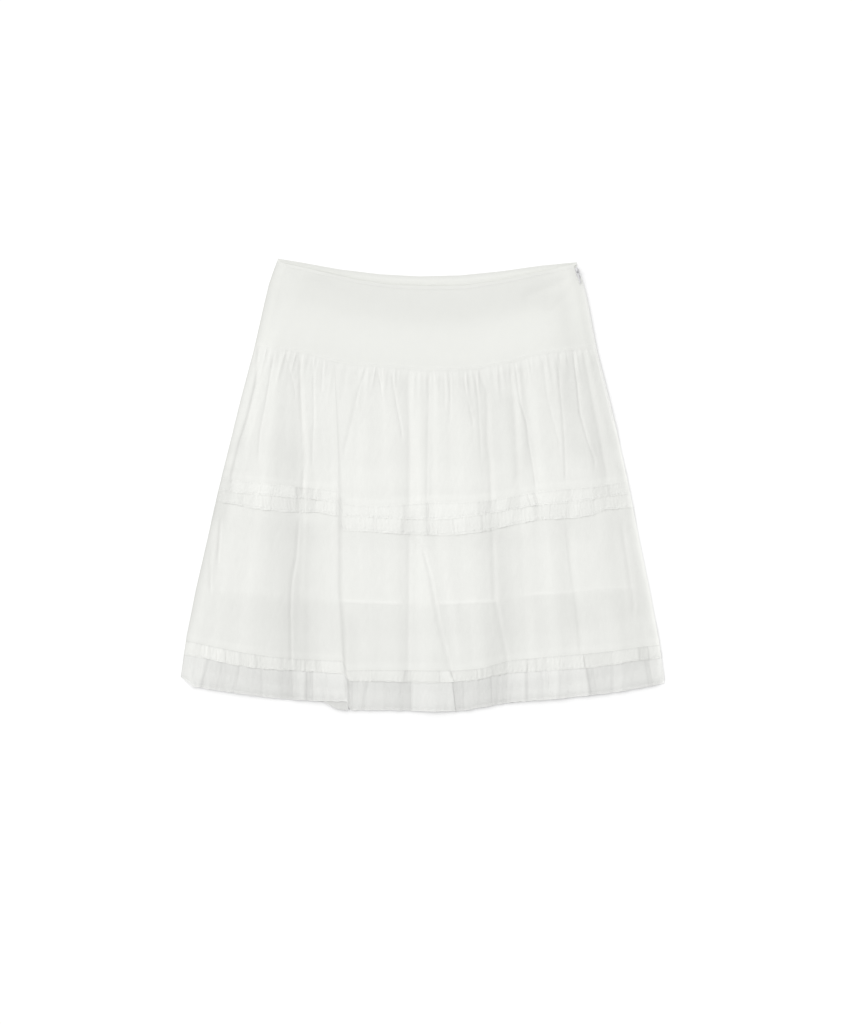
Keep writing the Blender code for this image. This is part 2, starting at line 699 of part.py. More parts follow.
def box(name, low, high):
    """A plain box, in millimetres."""
    bm = bmesh.new()
    bmesh.ops.create_cube(bm, size=1.0)
    for v in bm.verts:
        v.co = [blend(low[k], high[k], v.co[k] + 0.5) * MM for k in range(3)]
    mesh = bpy.data.meshes.new(name)
    bm.to_mesh(mesh)
    bm.free()
    obj = bpy.data.objects.new(name, mesh)
    bpy.context.scene.collection.objects.link(obj)
    return obj


def join(target, tool, operation):
    """Joins a helper to an object, or cuts it out, and leaves the helper out of the part."""
    tool.hide_render = True
    tool.display_type = "WIRE"
    modifier = target.modifiers.new(operation.lower(), "BOOLEAN")
    modifier.operation = operation
    modifier.solver = "EXACT"
    modifier.object = tool


def place_on_zip(obj, height):
    obj.location = (SLIDER_AT[0] * MM, SLIDER_AT[1] * MM, height * MM)
    obj.rotation_euler = (0.0, 0.0, SLIDER_TURN)


def zip_slider(material):
    """Slider's body with the low arch, its bail, that the pull tab hangs on."""
    half_width, half_length = SLIDER_WIDTH / 2, SLIDER_LENGTH / 2
    body = box("zip_slider", (-half_width, -half_length, 0.0), (half_width, half_length, SLIDER_HEIGHT))
    bevel = body.modifiers.new("edges", "BEVEL")
    bevel.width = 0.5 * MM
    bevel.segments = 1
    body.data.materials.append(material)

    bm = bmesh.new()
    rings = []
    for a in np.linspace(0.0, math.pi, 9):
        ring = []
        for side, out in ((-1, -1), (1, -1), (1, 1), (-1, 1)):
            reach, height = BAIL_REACH + out * BAIL_WALL / 2, BAIL_HEIGHT + out * BAIL_WALL / 2
            z = SLIDER_HEIGHT - BAIL_ROOT + (height + BAIL_ROOT) * math.sin(a)
            ring.append(bm.verts.new((side * BAIL_WIDTH / 2 * MM, reach * math.cos(a) * MM, z * MM)))
        rings.append(ring)
    for a, b in zip(rings, rings[1:]):
        for k in range(4):
            n = (k + 1) % 4
            bm.faces.new((a[k], a[n], b[n], b[k]))
    bm.faces.new(rings[0])
    bm.faces.new(rings[-1])
    bmesh.ops.recalc_face_normals(bm, faces=bm.faces)
    mesh = bpy.data.meshes.new("bail")
    bm.to_mesh(mesh)
    bm.free()
    bail = bpy.data.objects.new("bail", mesh)
    bpy.context.scene.collection.objects.link(bail)
    join(body, bail, "UNION")
    for obj in (body, bail):
        place_on_zip(obj, SLIDER_BOTTOM)
    return body


def zip_pull(material):
    """Pull tab: a flat blade with a window at its head that passes over the slider's bail.
    Its origin is on the hinge's axis, in the middle of the head's bar."""
    half_bar, half_head, half_blade = PULL_WALL / 2, PULL_HEAD_WIDTH / 2, PULL_BLADE_WIDTH / 2
    neck = -PULL_WINDOW_END - PULL_WALL
    shoulder = neck - PULL_SHOULDER
    outline = [(half_head, half_bar), (-half_head, half_bar), (-half_head, neck), (-half_blade, shoulder)]
    centre = -PULL_LENGTH + half_blade
    outline += [(half_blade * math.cos(a), centre + half_blade * math.sin(a))
                for a in np.linspace(math.pi, 2 * math.pi, 9)]
    outline += [(half_blade, shoulder), (half_head, neck)]
    bm = bmesh.new()
    low = [bm.verts.new((x * MM, y * MM, -half_bar * MM)) for x, y in outline]
    high = [bm.verts.new((x * MM, y * MM, half_bar * MM)) for x, y in outline]
    bm.faces.new(high)
    bm.faces.new(list(reversed(low)))
    for k in range(len(outline)):
        n = (k + 1) % len(outline)
        bm.faces.new((low[k], low[n], high[n], high[k]))
    bmesh.ops.recalc_face_normals(bm, faces=bm.faces)
    mesh = bpy.data.meshes.new("zip_pull")
    bm.to_mesh(mesh)
    bm.free()
    pull = add_object("zip_pull", mesh, material)
    window = box("pull_window", (-PULL_WINDOW_WIDTH / 2, -PULL_WINDOW_END, -1.0),
                 (PULL_WINDOW_WIDTH / 2, -half_bar, 1.0))
    join(pull, window, "DIFFERENCE")
    for obj in (pull, window):
        place_on_zip(obj, SLIDER_TOP + PIN_HEIGHT)
    return pull


def main():
    for obj in list(bpy.data.objects):
        bpy.data.objects.remove(obj)
    yoke_white = cloth_material("cotton_yoke", (0.90, 0.90, 0.89))
    tier_white = cloth_material("cotton_tiers", (0.92, 0.92, 0.91))
    frill_white = cloth_material("cotton_frills", (0.88, 0.88, 0.87))
    lining_white = cloth_material("lining", (0.93, 0.93, 0.92))
    yoke_front(yoke_white)
    upper_tier_front(tier_white)
    lower_tier_front(tier_white)
    frill("band_frill_lower_front", BAND_MIDDLE, BAND_FOOT, frill_white, FRILL_RISE, 2, FRILL_TUCK)
    frill("band_frill_upper_front", BAND_TOP, BAND_MIDDLE, frill_white, FRILL_RISE, 3,
          foot_extra=UPPER_FRILL_OUT)
    frill("hem_frill_front", HEM_TOP, HEM_MIDDLE, frill_white, FRILL_RISE, 5)
    hem_ruffle_front(frill_white)
    back_pieces(tier_white, frill_white)
    lining_pieces(lining_white)
    zip_tape(cloth_material("zip_tape", (0.86, 0.86, 0.86)))
    zip_slider(metal_material("zip_metal", (0.55, 0.55, 0.56)))
    zip_pull(metal_material("zip_pull_metal", (0.62, 0.62, 0.63)))


main()
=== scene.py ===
"""Looks of the tiered ruffle skirt: thin cotton panels, frills, seams, thread and zip, in place of the
solids' thick walls.

Lengths are in millimetres, in the part's own frame: +X to the right of the front as seen from above, +Y
towards the waist, +Z up. The front is one folded surface, front_mid(s, y): its columns s run across the
cloth from the left side seam to the right one, one whole number for each row of FOLDS.
"""

import math
from collections import namedtuple

import bmesh
import bpy
import numpy as np
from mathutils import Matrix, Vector

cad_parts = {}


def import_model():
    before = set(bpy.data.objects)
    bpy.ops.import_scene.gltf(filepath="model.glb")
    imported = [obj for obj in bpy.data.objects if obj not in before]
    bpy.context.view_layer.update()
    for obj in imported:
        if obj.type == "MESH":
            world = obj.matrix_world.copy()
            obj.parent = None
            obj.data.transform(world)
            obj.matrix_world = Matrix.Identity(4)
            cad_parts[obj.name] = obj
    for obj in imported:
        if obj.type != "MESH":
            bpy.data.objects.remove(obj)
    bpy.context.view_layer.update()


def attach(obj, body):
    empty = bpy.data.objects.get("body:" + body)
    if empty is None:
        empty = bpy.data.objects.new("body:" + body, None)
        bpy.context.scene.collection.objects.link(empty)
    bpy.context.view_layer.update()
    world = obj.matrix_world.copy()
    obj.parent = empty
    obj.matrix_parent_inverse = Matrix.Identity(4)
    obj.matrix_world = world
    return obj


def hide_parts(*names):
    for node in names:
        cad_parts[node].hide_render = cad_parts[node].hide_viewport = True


MM = 0.001
SKIRT = "skirt"
PULL = "pull_tab"

# ---------------------------------------------------------------- sizes shared with the solids

# The solids' walls, the gaps between them, and how far a frill or the lining lifts what lies on it.
CLOTH_WALL = 1.2
LINING_WALL = 1
SEAM_GAP = 0.3
LAYER_GAP = 0.6
LINING_GAP = 0.4
FRILL_STEP = CLOTH_WALL + SEAM_GAP
LINING_STEP = 2 * LINING_WALL + LAYER_GAP + LINING_GAP

# Middles of the cloth: the back's height, the front's above it at the side seams, and the front's own height,
# which it reaches SEAM_ROLL further in.
BACK_MID = 0.3
SEAM_STEP = 0.5
FRONT_MID = CLOTH_WALL + LAYER_GAP + CLOTH_WALL / 2
SEAM_ROLL = 14

# The skirt's outline, from the hem up.
Side = namedtuple("Side", "y left right")
SIDES = [
    Side(-240, -283, 283), Side(-223.5, -283, 283), Side(-179, -276.7, 276.5), Side(-122.8, -265.6, 266.2),
    Side(-66.7, -252.7, 254.5), Side(-10.5, -240.2, 243.5), Side(45.6, -226.4, 231.7),
    Side(101.8, -212.6, 218.4), Side(157.9, -197.7, 204.2), Side(214.1, -185, 193.6),
    Side(235, -180, 188.6), Side(249, -175.3, 183.8), Side(265.6, -169.1, 179.2),
]

# Lines across the skirt, as (x, y) points.
WAIST_FRONT = [(-168, 262), (-157, 258.6), (-118, 249.7), (-76, 240), (-33, 234), (9, 232.8),
               (51, 233.4), (93, 239.8), (163, 255), (178, 259)]
WAIST_BACK = [(-169, 265.3), (-143, 261), (-97, 252.7), (-50, 247), (-3, 244.5), (44, 245.7),
              (91, 250.4), (138, 257), (179, 261)]
YOKE_SEAM = [(-195, 163), (-167, 159), (-132, 152.7), (-106, 144.5), (-88, 140.6), (-52, 138),
             (9, 133.4), (32, 133.4), (67, 135.7), (113, 145), (127, 151), (178, 158), (203, 161.5)]
LINING_HEM = [(-266, -122.8), (-91, -138), (-25, -140.4), (23, -140.4), (83, -138), (126, -130),
              (173, -127.5), (208, -123), (267, -120.5)]

# Lines across the tiers come in two runs, left and right of the big fold.
Line = namedtuple("Line", "left right")
BAND_TOP = Line(
    [(-238, 9.4), (-213, 4.7), (-178, 1.2), (-132, -3.5), (-95, -7)],
    [(-95, -21), (-73, -24.6), (-44, -24.6), (-15, -22.2), (15, -19.9), (67, -19.9), (97, -15.2),
     (126, -9.4), (161, -4.7), (200, -2.3), (242, 4.7)],
)
BAND_MIDDLE = Line(
    [(-242, -5.8), (-229, -8.2), (-173, -12.9), (-120, -17.5), (-95, -21)],
    [(-95, -36.3), (-73, -37.4), (-26, -39.4), (15, -40.9), (50, -37.8), (97, -30.4), (138, -22.8),
     (190, -20), (208, -14), (245, -10.5)],
)
BAND_FOOT = Line(
    [(-244, -19), (-216, -23), (-197, -28), (-149, -32.8), (-125, -31.5), (-95, -37.4)],
    [(-95, -53.8), (-61, -54.6), (-18, -57.9), (30, -59.3), (72, -55), (100, -48), (135, -40.5),
     (180, -38.6), (198, -36), (208, -29.8), (247, -25.7)],
)
HEM_TOP = Line(
    [(-277, -182.5), (-250, -187.9), (-220, -194.2), (-187, -200.1), (-154, -203.6), (-93, -205.9)],
    [(-93, -217.4), (-61, -216.6), (37, -217.4), (68, -215), (100, -205.9), (145, -201.2), (205, -196.6),
     (256, -189.5), (278, -187.2)],
)
HEM_MIDDLE = Line(
    [(-280, -198.3), (-250, -203.2), (-232, -208.4), (-190, -215.3), (-139, -217.5), (-93, -220.7)],
    [(-92, -229.3), (-42, -229.9), (9, -231.7), (57, -229.3), (100, -219.9), (160, -216.1), (205, -213.2),
     (245, -206.4), (281, -202.4)],
)
HEM_FOOT = Line(
    [(-283, -224.6), (-280, -230), (-275, -233.8), (-268, -235.9), (-224, -242.7), (-170, -249.9),
     (-125, -252.7), (-88, -253.2)],
    [(-105, -261.5), (-91, -263.2), (-31, -263.4), (9, -265.1), (46, -264.4), (100, -254.6), (156, -250.4),
     (225, -242.7), (270, -234.7), (283, -231.7)],
)
# How far the ruffle reaches up under its frill.
RUFFLE_TUCK = 3

# The folds of the front: where each stands at the yoke seam, at the frill band and at the hem, and how far
# its cloth stands up at five heights.
FOLD_AT = (-250, -20, 140)
RISE_AT = (-250, -135, -20, 64, 140)
Fold = namedtuple("Fold", "name seam band hem rise_seam rise_tier rise_band rise_low rise_hem")
FOLDS = [Fold(*row) for row in (
    ("left_edge", -199, -242, -283, 0, 0, 0, 0, 0),
    ("left_roll", -194, -234, -272, 0.6, 1, 0.8, 1.2, 1),
    ("left_trough", -190, -225, -262, 0.2, 0.2, 0.4, 0.6, 0.5),
    ("left_crest", -183, -213, -247, 0.7, 1.4, 1, 1.6, 1.4),
    ("thin_trough", -176, -198, -229, 0.4, 1.2, 0.9, 1.2, 0.9),
    ("broad_crest", -167, -184, -209, 1, 2.5, 1.6, 2.4, 1.8),
    ("broad_trough", -155, -162, -181, 0.4, 0.4, 0.3, 1, 0.6),
    ("deep_trough", -144, -140, -151, 0.2, 0.1, 0.2, 0.1, 0.1),
    ("near_crest", -138, -134, -139, 0.9, 2.5, 1.7, 1.6, 1.4),
    ("near_trough", -128, -124, -122, 0.5, 1.6, 1.5, 2.4, 1.9),
    ("fold_crest", -114, -107, -103, 1.4, 3.7, 3.2, 4.2, 4.4),
    ("fold_edge", -103, -95, -88.5, 1.5, 4, 4, 4.6, 4.8),
    ("fold_foot", -103, -95, -88.5, 0.3, 0.2, 0.3, 0.3, 0.3),
    ("slant_trough", -76, -84, -77, 0.2, 0.5, 0.5, 0.7, 0.6),
    ("slant_crest", -61, -68, -62, 1, 1.9, 1.3, 1.3, 1.3),
    ("thin_trough_2", -51, -46, -48, 0.3, 1, 0.9, 1, 0.8),
    ("low_crest", -42, -34, -34, 0.9, 1.7, 1.3, 1.4, 1.4),
    ("ridge_trough", -21, -11, -10, 0.1, 0.1, 0.2, 0.2, 0.3),
    ("middle_ridge", -4, 1, 13, 1.2, 3.1, 2.3, 2.9, 2.8),
    ("diagonal", 10, 11, 42, 0.3, 1.1, 0.9, 0.4, 0.3),
    ("middle_crest", 19, 22, 53, 1, 2.2, 1.5, 1.7, 1.6),
    ("middle_trough", 34, 36, 64, 0.3, 1.3, 1.2, 1.3, 1.2),
    ("middle_crest_2", 48, 52, 75, 0.9, 2, 1.6, 1.9, 1.7),
    ("deep_trough_2", 67, 78, 90, 0.1, 0.1, 0.3, 0.1, 0.1),
    ("sharp_crest", 81, 89, 103, 1.2, 2.2, 1.5, 0.5, 0.4),
    ("broad_trough_2", 103, 113, 122, 0.2, 0.3, 0.5, 0.6, 0.4),
    ("right_crest", 110, 124, 137, 1, 2.5, 1.8, 2.2, 1.9),
    ("right_trough", 117, 135, 151, 0.3, 0.9, 1, 1.7, 1.4),
    ("right_crest_2", 129, 146, 163, 1.1, 2.7, 1.8, 2.4, 2),
    ("right_trough_2", 149, 163, 178, 0.2, 0.4, 0.7, 0.5, 0.4),
    ("right_crest_3", 163, 178, 198, 0.9, 1.9, 1.4, 2.3, 2),
    ("side_trough", 176, 198, 222, 0.2, 0.5, 0.7, 1.5, 1.1),
    ("side_crest", 183, 211, 236, 0.9, 1.9, 1.4, 2.1, 1.8),
    ("side_trough_2", 189, 223, 251, 0.2, 0.5, 0.7, 0.8, 0.7),
    ("right_roll", 196, 233, 267, 0.6, 1.1, 0.9, 1.2, 1),
    ("right_edge", 206, 245, 283, 0, 0, 0, 0, 0),
)]
FOLD_EDGE = [fold.name for fold in FOLDS].index("fold_edge")
LAST = len(FOLDS) - 1
FOLD_X = np.array([(f.hem, f.band, f.seam) for f in FOLDS], float)
FOLD_RISE = np.array([(f.rise_hem, f.rise_low, f.rise_band, f.rise_tier, f.rise_seam) for f in FOLDS], float)

# The back's frills: their lines curve up towards the side seams. What lies on them is lifted, and comes down
# past them. SIDE_STEP is the share of that at the side seams.
BACK_BAND_MIDDLE = -27
BACK_BAND_LIFT = 19
BACK_BAND_HALF = 17
BACK_HEM_MIDDLE = -258
BACK_HEM_LIFT = 34
BACK_HEM_CURVE = 2.4
BACK_RUFFLE_DEPTH = 33
HEM_FRILL_DEPTH = 14
FRILL_MARGIN = 1
RUFFLE_MARGIN = 2
FADE = 36
RUFFLE_FADE = 18
SIDE_STEP = 0.4
SIDE_FADE = 10
HALF_AT_BAND = 242
HALF_AT_HEM = 283

# The lining: how far in from the side seams it stands, where the front rises onto it and over what width, and
# where the front comes down again below its hem.
LINING_INSET = 10
LINING_RISE_AT = 0.5
LINING_RISE = 26
LINING_DROP_AT = 4
LINING_DROP = 90

# The yoke is a little higher along its waist, and comes up onto the lining above its lower seam.
YOKE_LIP = 1.6
YOKE_LIP_EDGE = 60
YOKE_LIP_SHARE = 0.5
YOKE_SLOPE = 62

# The zip: the room that the front leaves over its tape, and how far the back comes up below it.
ZIP_END = 75
TAPE_WIDTH = 8
TAPE_WALL = 1
TAPE_MID = CLOTH_WALL + SEAM_GAP + 0.5
ZIP_ROOM_BELOW = 36
ZIP_ROOM_FADE = 30
ZIP_ROOM_MARGIN = 2
ZIP_SLOPE = 20
UNDER_ZIP = 0.9
UNDER_ZIP_REACH = 3
UNDER_ZIP_FADE = 12
UNDER_SLIDER = 14
UNDER_SLIDER_FADE = 8

# Slider and pull tab. The seam's edges stand back round the slider.
SLIDER_AT = (180.9, 250.88)
SLIDER_TURN = math.radians(14.0)
SLIDER_LENGTH = 7.6
SLIDER_WIDTH = 4
SLIDER_BOTTOM = 0.7
SLIDER_TOP = 4
SLIDER_NOTCH = 4.3
BACK_NOTCH = 1
NOTCH_MARGIN = 1.4
NOTCH_FADE = 3
BAIL_REACH = 2.2
BAIL_HEIGHT = 2.5
BAIL_WIDTH = 1.4
BAIL_WALL = 0.7
PIN_HEIGHT = 1.1
PULL_LENGTH = 15.6
PULL_WALL = 0.9
PULL_HEAD_WIDTH = 3.9
PULL_BLADE_WIDTH = 1.9
PULL_WINDOW_WIDTH = 2.3
PULL_WINDOW_END = 3.3

# ---------------------------------------------------------------- the fine cloth

# Thicknesses: tiers, frills, hem ruffle, yoke and lining, and how much thicker a turned hem is.
VOILE = 0.42
FRILL = 0.32
SHEER = 0.26
LAWN = 0.55
LINING = 0.4
HEM_FOLD = 0.1
# How far apart the tiers' points are.
COLUMN_SPACING = 1.1
LINING_BACK_MID = CLOTH_WALL + LAYER_GAP + LINING_WALL / 2
LINING_FRONT_MID = LINING_BACK_MID + LINING_WALL + LINING_GAP

# How much darker the lower tier is where no lining lies under it, partly from its fewer layers and partly
# painted shade of the space under it, how much lighter the cloth is over the lining's hem and over seam
# allowances, the painted highlight along the yoke's seam, and the painted light on the back yoke.
LINING_TONE = 0.035
LINING_HEM_TONE = 0.03
ALLOWANCE_TONE = 0.03
SEAM_PAINTED_HIGHLIGHT = 0.03
YOKE_BACK_PAINTED_LIGHT = 1.035

# Where the lining's hem shows as a clear line through the lower tier: (x, how clearly).
HEM_SHOWS = [(-266, 0.1), (-100, 0.1), (-90, 1), (-26, 1), (-21, 0.15), (18, 0.15), (23, 1), (83, 1),
             (92, 0.1), (118, 0.25), (128, 0.75), (172, 0.75), (186, 0.3), (196, 0.6), (240, 0.5), (252, 0.1)]

# A strip's rows, as shares of its depth from the seam down, and its pleats' shape.
STRIP_PLACES = (0.0, 0.05, 0.1, 0.18, 0.3, 0.42, 0.54, 0.66, 0.77, 0.85, 0.9, 0.97, 1.0)
RUFFLE_PLACES = (0.0, 0.04, 0.09, 0.14, 0.2, 0.27, 0.34, 0.42, 0.5, 0.58, 0.66, 0.74, 0.82, 0.89, 0.935,
                 0.955, 0.985, 1.0)
# Where along a strip's depth the painted light and shade of its top and foot are given.
PAINTED_EDGE_AT = (0.0, 0.08, 0.9, 0.955, 1.0)
PLEAT_REACH = 5
PLEAT_LAYER = 0.28

# PRESSED is the share of the solids' rise that the folds keep, and FOLD_PRESSED the same for the big fold's
# edge, as (y, share). That edge turns down by TURN_ANGLE, as (y, angle), and back: TURN_OUT_SHARE is its
# upper curve's share of the two radii. EDGE_SHIFT is how far it stands beside its solid's, as (y, distance).
PRESSED = 0.55
FOLD_PRESSED = [(-265, 0.27), (-225, 0.28), (-170, 0.37), (-135, 0.3), (-76, 0.26), (-20, 0.25), (50, 0.14),
                (150, 0.12)]
TURN_ANGLE = [(y, math.radians(degrees)) for y, degrees in (
    (-265, 32), (-225, 31), (-205, 27), (-170, 22), (-120, 18), (-76, 17), (-20, 16), (50, 16), (150, 15))]
TURN_OUT_SHARE = 0.45
TURN_STEPS = 14
EDGE_SHIFT = [(-238, 1.4), (-229, 0.9), (-220, -2), (-199, -2.4), (-170, -2.7), (-123, -5), (-76, -3.7),
              (-20, -2), (17, -0.5), (60, 0)]

# Small creases: a soft groove or ridge along a path from its upper end to its lower one, each side with its
# own width. depth is below the cloth (ridges are negative).
Crease = namedtuple("Crease", "path depth left right fade")
TIER_CREASES = [Crease(*row) for row in (
    ([(-192, 158), (-195, 118), (-205, 77), (-214, 49), (-223, 11)], 0.88, 1.9, 3.1, 14),
    ([(-174, 153), (-183, 98), (-190, 63), (-192, 39)], 0.36, 1.4, 1.7, 18),
    ([(-159, 150), (-149, 111)], 0.34, 1.6, 1.6, 14),
    ([(-143, 153), (-142, 102), (-138, 53), (-137, 27), (-140, -4)], 0.9, 2.6, 2.6, 12),
    ([(-128, 150), (-127, 77), (-129, 35)], 0.4, 1.4, 1.4, 18),
    ([(-116, 147), (-118, 116)], 0.35, 1.3, 1.6, 12),
    ([(-99, 142), (-104, 112)], 0.4, 1.4, 1.4, 12),
    ([(-90, 140), (-95, 100)], 0.35, 1.2, 1.5, 12),
    ([(-68, 133), (-78, 98), (-86, 62), (-91, 44)], 0.64, 1.4, 1.8, 14),
    ([(-52, 133), (-47, 108)], 0.4, 1.4, 1.2, 10),
    ([(-36, 132), (-31, 98), (-24, 62)], 0.56, 1.7, 1.4, 14),
    ([(-17, 130), (-15, 60), (-15, -20)], 0.56, 3, 3, 16),
    ([(8, 130), (6, 60), (5, -8)], 0.36, 1.1, 1.3, 24),
    ([(25, 130), (26, 99)], 0.4, 1.3, 1.3, 12),
    ([(33, 130), (32, 84)], 0.4, 1.4, 1.4, 16),
    ([(47, 133), (53, 100), (59, 74)], 0.4, 1.7, 1.4, 16),
    ([(67, 133), (75, 109), (76, 91), (76, 53), (79, 27), (81, -20)], 0.75, 2.6, 3.2, 16),
    ([(60, 134), (65, 100), (68, 41)], 0.35, 1.4, 1.7, 22),
    ([(100, 137), (107, 105), (109, 67), (111, 14)], 0.64, 4.3, 3.6, 18),
    ([(109, 137), (114, 97), (121, 74), (125, 44), (132, 4)], 0.56, 1.4, 1.8, 16),
    ([(141, 148), (146, 102), (155, 67), (160, 50)], 0.4, 1.4, 1.4, 18),
    ([(159, 153), (160, 118), (163, 91), (166, 53), (167, 14)], 0.7, 1.4, 2.9, 14),
    ([(176, 157), (181, 118), (184, 84), (194, 49), (201, 30)], 0.88, 1.4, 2.4, 14),
    ([(188, 155), (198, 105), (205, 70), (215, 14)], 0.56, 2.4, 3.6, 18),
    ([(203, 150), (208, 132), (223, 70), (237, 14)], 0.48, 1.2, 1.9, 14),
    ([(-236, -40), (-239, -84)], 0.8, 1.8, 1.8, 14),
    ([(-248, -74), (-248, -116)], 0.8, 1.5, 1.5, 14),
    ([(-144, -40), (-147, -82), (-153, -118), (-154, -152), (-153, -200)], 0.7, 2.4, 1.4, 20),
    ([(-15.5, -58), (-16, -130), (-17, -215)], 0.44, 2.6, 2.8, 20),
    ([(-15, -58), (1, -78), (9, -108), (13, -132), (19, -164), (27, -195), (34, -222)], 0.8, 1.3, 3.2, 10),
    ([(82, -53), (85, -132), (93, -172), (99, -201)], 0.6, 3.5, 2.5, 20),
    ([(168, -45), (174, -102), (180, -142), (184, -185)], 0.5, 1.8, 5, 24),
    ([(233, -45), (247, -138)], 0.5, 2.5, 2.5, 26),
)]
YOKE_CREASES = [Crease(*row) for row in (
    ([(171, 241), (146, 231), (125, 222)], 0.45, 5, 6, 9),
    ([(176, 226), (160, 214), (150, 203)], 0.3, 5, 5, 14),
    ([(-150, 247), (-134, 240), (-112, 237)], 0.3, 4, 4, 14),
)]

# Painted shade: soft darker bands along paths down the front, as shares of its colour. A negative depth
# paints a lighter band instead.
PAINTED_SHADES = [Crease(*row) for row in (
    ([(-147, 150), (-150, 76), (-151, 12), (-154, -76), (-152, -117), (-150, -255)], 0.045, 20, 9, 60),
    ([(-152, 60), (-152, 12), (-155, -76), (-154, -117), (-152, -255)], 0.05, 32, 26, 50),
    ([(76, 135), (77, 76), (79, 12), (86, -76), (93, -117), (92, -255)], 0.05, 14, 14, 40),
    ([(80, -40), (88, -76), (93, -117), (92, -255)], 0.035, 22, 22, 40),
    ([(104, 150), (118, 76), (120, 41), (112, 12), (112, -20)], 0.04, 10, 12, 30),
    ([(168, 158), (174, 111), (188, 76), (196, 41), (214, 12)], 0.055, 26, 30, 50),
    ([(219, -5), (232, -76), (245, -117), (252, -170), (262, -245)], 0.055, 26, 16, 50),
    ([(-226, 24), (-231, 6), (-236, -18), (-243, -36)], 0.06, 11, 11, 14),
    ([(150, -20), (155, -45)], 0.012, 60, 50, 6),
    ([(-190, 140), (-207, 76), (-220, 41), (-236, -20), (-250, -76), (-262, -130), (-275, -200)],
     0.03, 9, 9, 30),
    ([(-22, 130), (-21, 76), (-21, 12), (-20, -76), (-22, -150), (-22, -215)], 0.025, 7, 5, 30),
    ([(176, 250), (170, 205), (172, 170)], 0.02, 16, 16, 20),
    ([(-140, -40), (-139, -80), (-140, -130), (-138, -200)], 0.06, 8, 14, 20),
    ([(-206, 70), (-216, 20), (-232, -50), (-246, -110)], 0.04, 10, 9, 30),
    ([(186, 150), (198, 90), (207, 30)], 0.045, 14, 14, 40),
    ([(46, 140), (52, 90)], 0.035, 14, 12, 30),
    ([(98, 110), (108, 60), (114, 15)], 0.05, 8, 8, 20),
    ([(70, 120), (79, 99), (74, 20)], 0.02, 10, 10, 16),
    ([(-213, 50), (-214, 15)], 0.03, 9, 9, 20),
    ([(196, 50), (206, -5)], 0.03, 9, 9, 20),
    ([(-73, 120), (-73, 80)], 0.025, 10, 10, 20),
    ([(-15, 120), (-13, 20)], 0.02, 7, 6, 20),
    ([(116, -55), (124, -130)], 0.03, 10, 8, 20),
    ([(178, -130), (186, -200)], 0.03, 6, 6, 20),
    ([(13, -60), (12, -110), (14, -185)], -0.028, 9, 9, 20),
    ([(163, 150), (166, 60), (169, -80), (176, -160)], 0.045, 9, 10, 40),
    ([(210, -60), (217, -130)], 0.03, 9, 9, 24),
    ([(-86, -150), (-84, -200), (-82, -235)], 0.03, 4, 10, 20),
    ([(165, 225), (176, 165)], 0.03, 10, 12, 20),
    ([(150, 222), (158, 195), (166, 168)], 0.022, 16, 18, 20),
    ([(-96, -14), (-95, -50)], 0.06, 5, 5, 6),
    ([(-86.5, -238), (-86, -262)], -0.06, 1.6, 1.6, 4),
    ([(-141, 147), (-139, 90), (-137, 40), (-136, -4)], 0.035, 1.5, 2.5, 14),
    ([(-192, 125), (-200, 80), (-212, 48)], 0.03, 4, 4, 14),
    ([(-71, 118), (-80, 85), (-88, 45)], 0.03, 1.2, 1.6, 10),
    ([(6, -80), (14, -108), (18, -132), (24, -164), (32, -195)], 0.025, 1.2, 1.8, 10),
    ([(113, 97), (121, 70), (128, 44), (134, 4)], 0.025, 1.3, 2, 12),
    ([(163, 118), (166, 91), (169, 53), (170, 14)], 0.025, 1.3, 2.2, 12),
    ([(180, 140), (185, 110), (188, 84), (198, 49), (205, 30)], 0.025, 1.3, 2.2, 12),
)]
# Painted shade bands across the yoke, as shares of its colour.
YOKE_PAINTED_SHADES = [Crease(*row) for row in (
    ([(-142, 238), (-110, 230), (-60, 220), (0, 207), (45, 207), (100, 217), (150, 232)],
     0.024, 25, 20, 16),
    ([(-125, 241), (-60, 233), (0, 229), (50, 229), (100, 234), (140, 242)], 0.012, 12, 12, 20),
    ([(120, 219), (130, 223), (146, 230), (171, 239)], 0.018, 9, 8, 10),
    ([(-152, 243), (-128, 239.5), (-104, 236)], 0.018, 6, 6, 10),
)]
# Painted shade along the front's left side and painted light along its right side, as (y, how much), with a
# narrow rim of painted shade on the left and of painted light on the right. Painted shade along the back
# yoke's waist, and on the upper tier just below the yoke seam.
EDGE_SHADE = 0.08
EDGE_LIGHT = [(-250, 0.07), (-200, 0.125), (-130, 0.115), (-60, 0.115), (-40, 0.14), (-18, 0.1), (40, 0.075),
              (110, 0.055), (160, 0.035)]
EDGE_REACH = 13
RIM_SHADE = 0.08
RIM_REACH = 1.3
RIM_LIGHT = 0.035
RIM_LIGHT_REACH = 3.5
WAIST_RIM_SHADE = 0.1
GATHER_SHADE = 0.022
GATHER_SHADE_REACH = 26

# Pleats from left to right: where each begins at its strip's seam and at its foot, how far it lies off the
# skirt, how white it looks, partly from its layers and partly painted light and shade, how much painted shade
# darkens the cloth where it begins, and how far it is turned under there.
Pleat = namedtuple("Pleat", "top foot level tone shade lap", defaults=(0.02, 0.0))


def pleats(*rows):
    return [Pleat(*row) for row in rows]


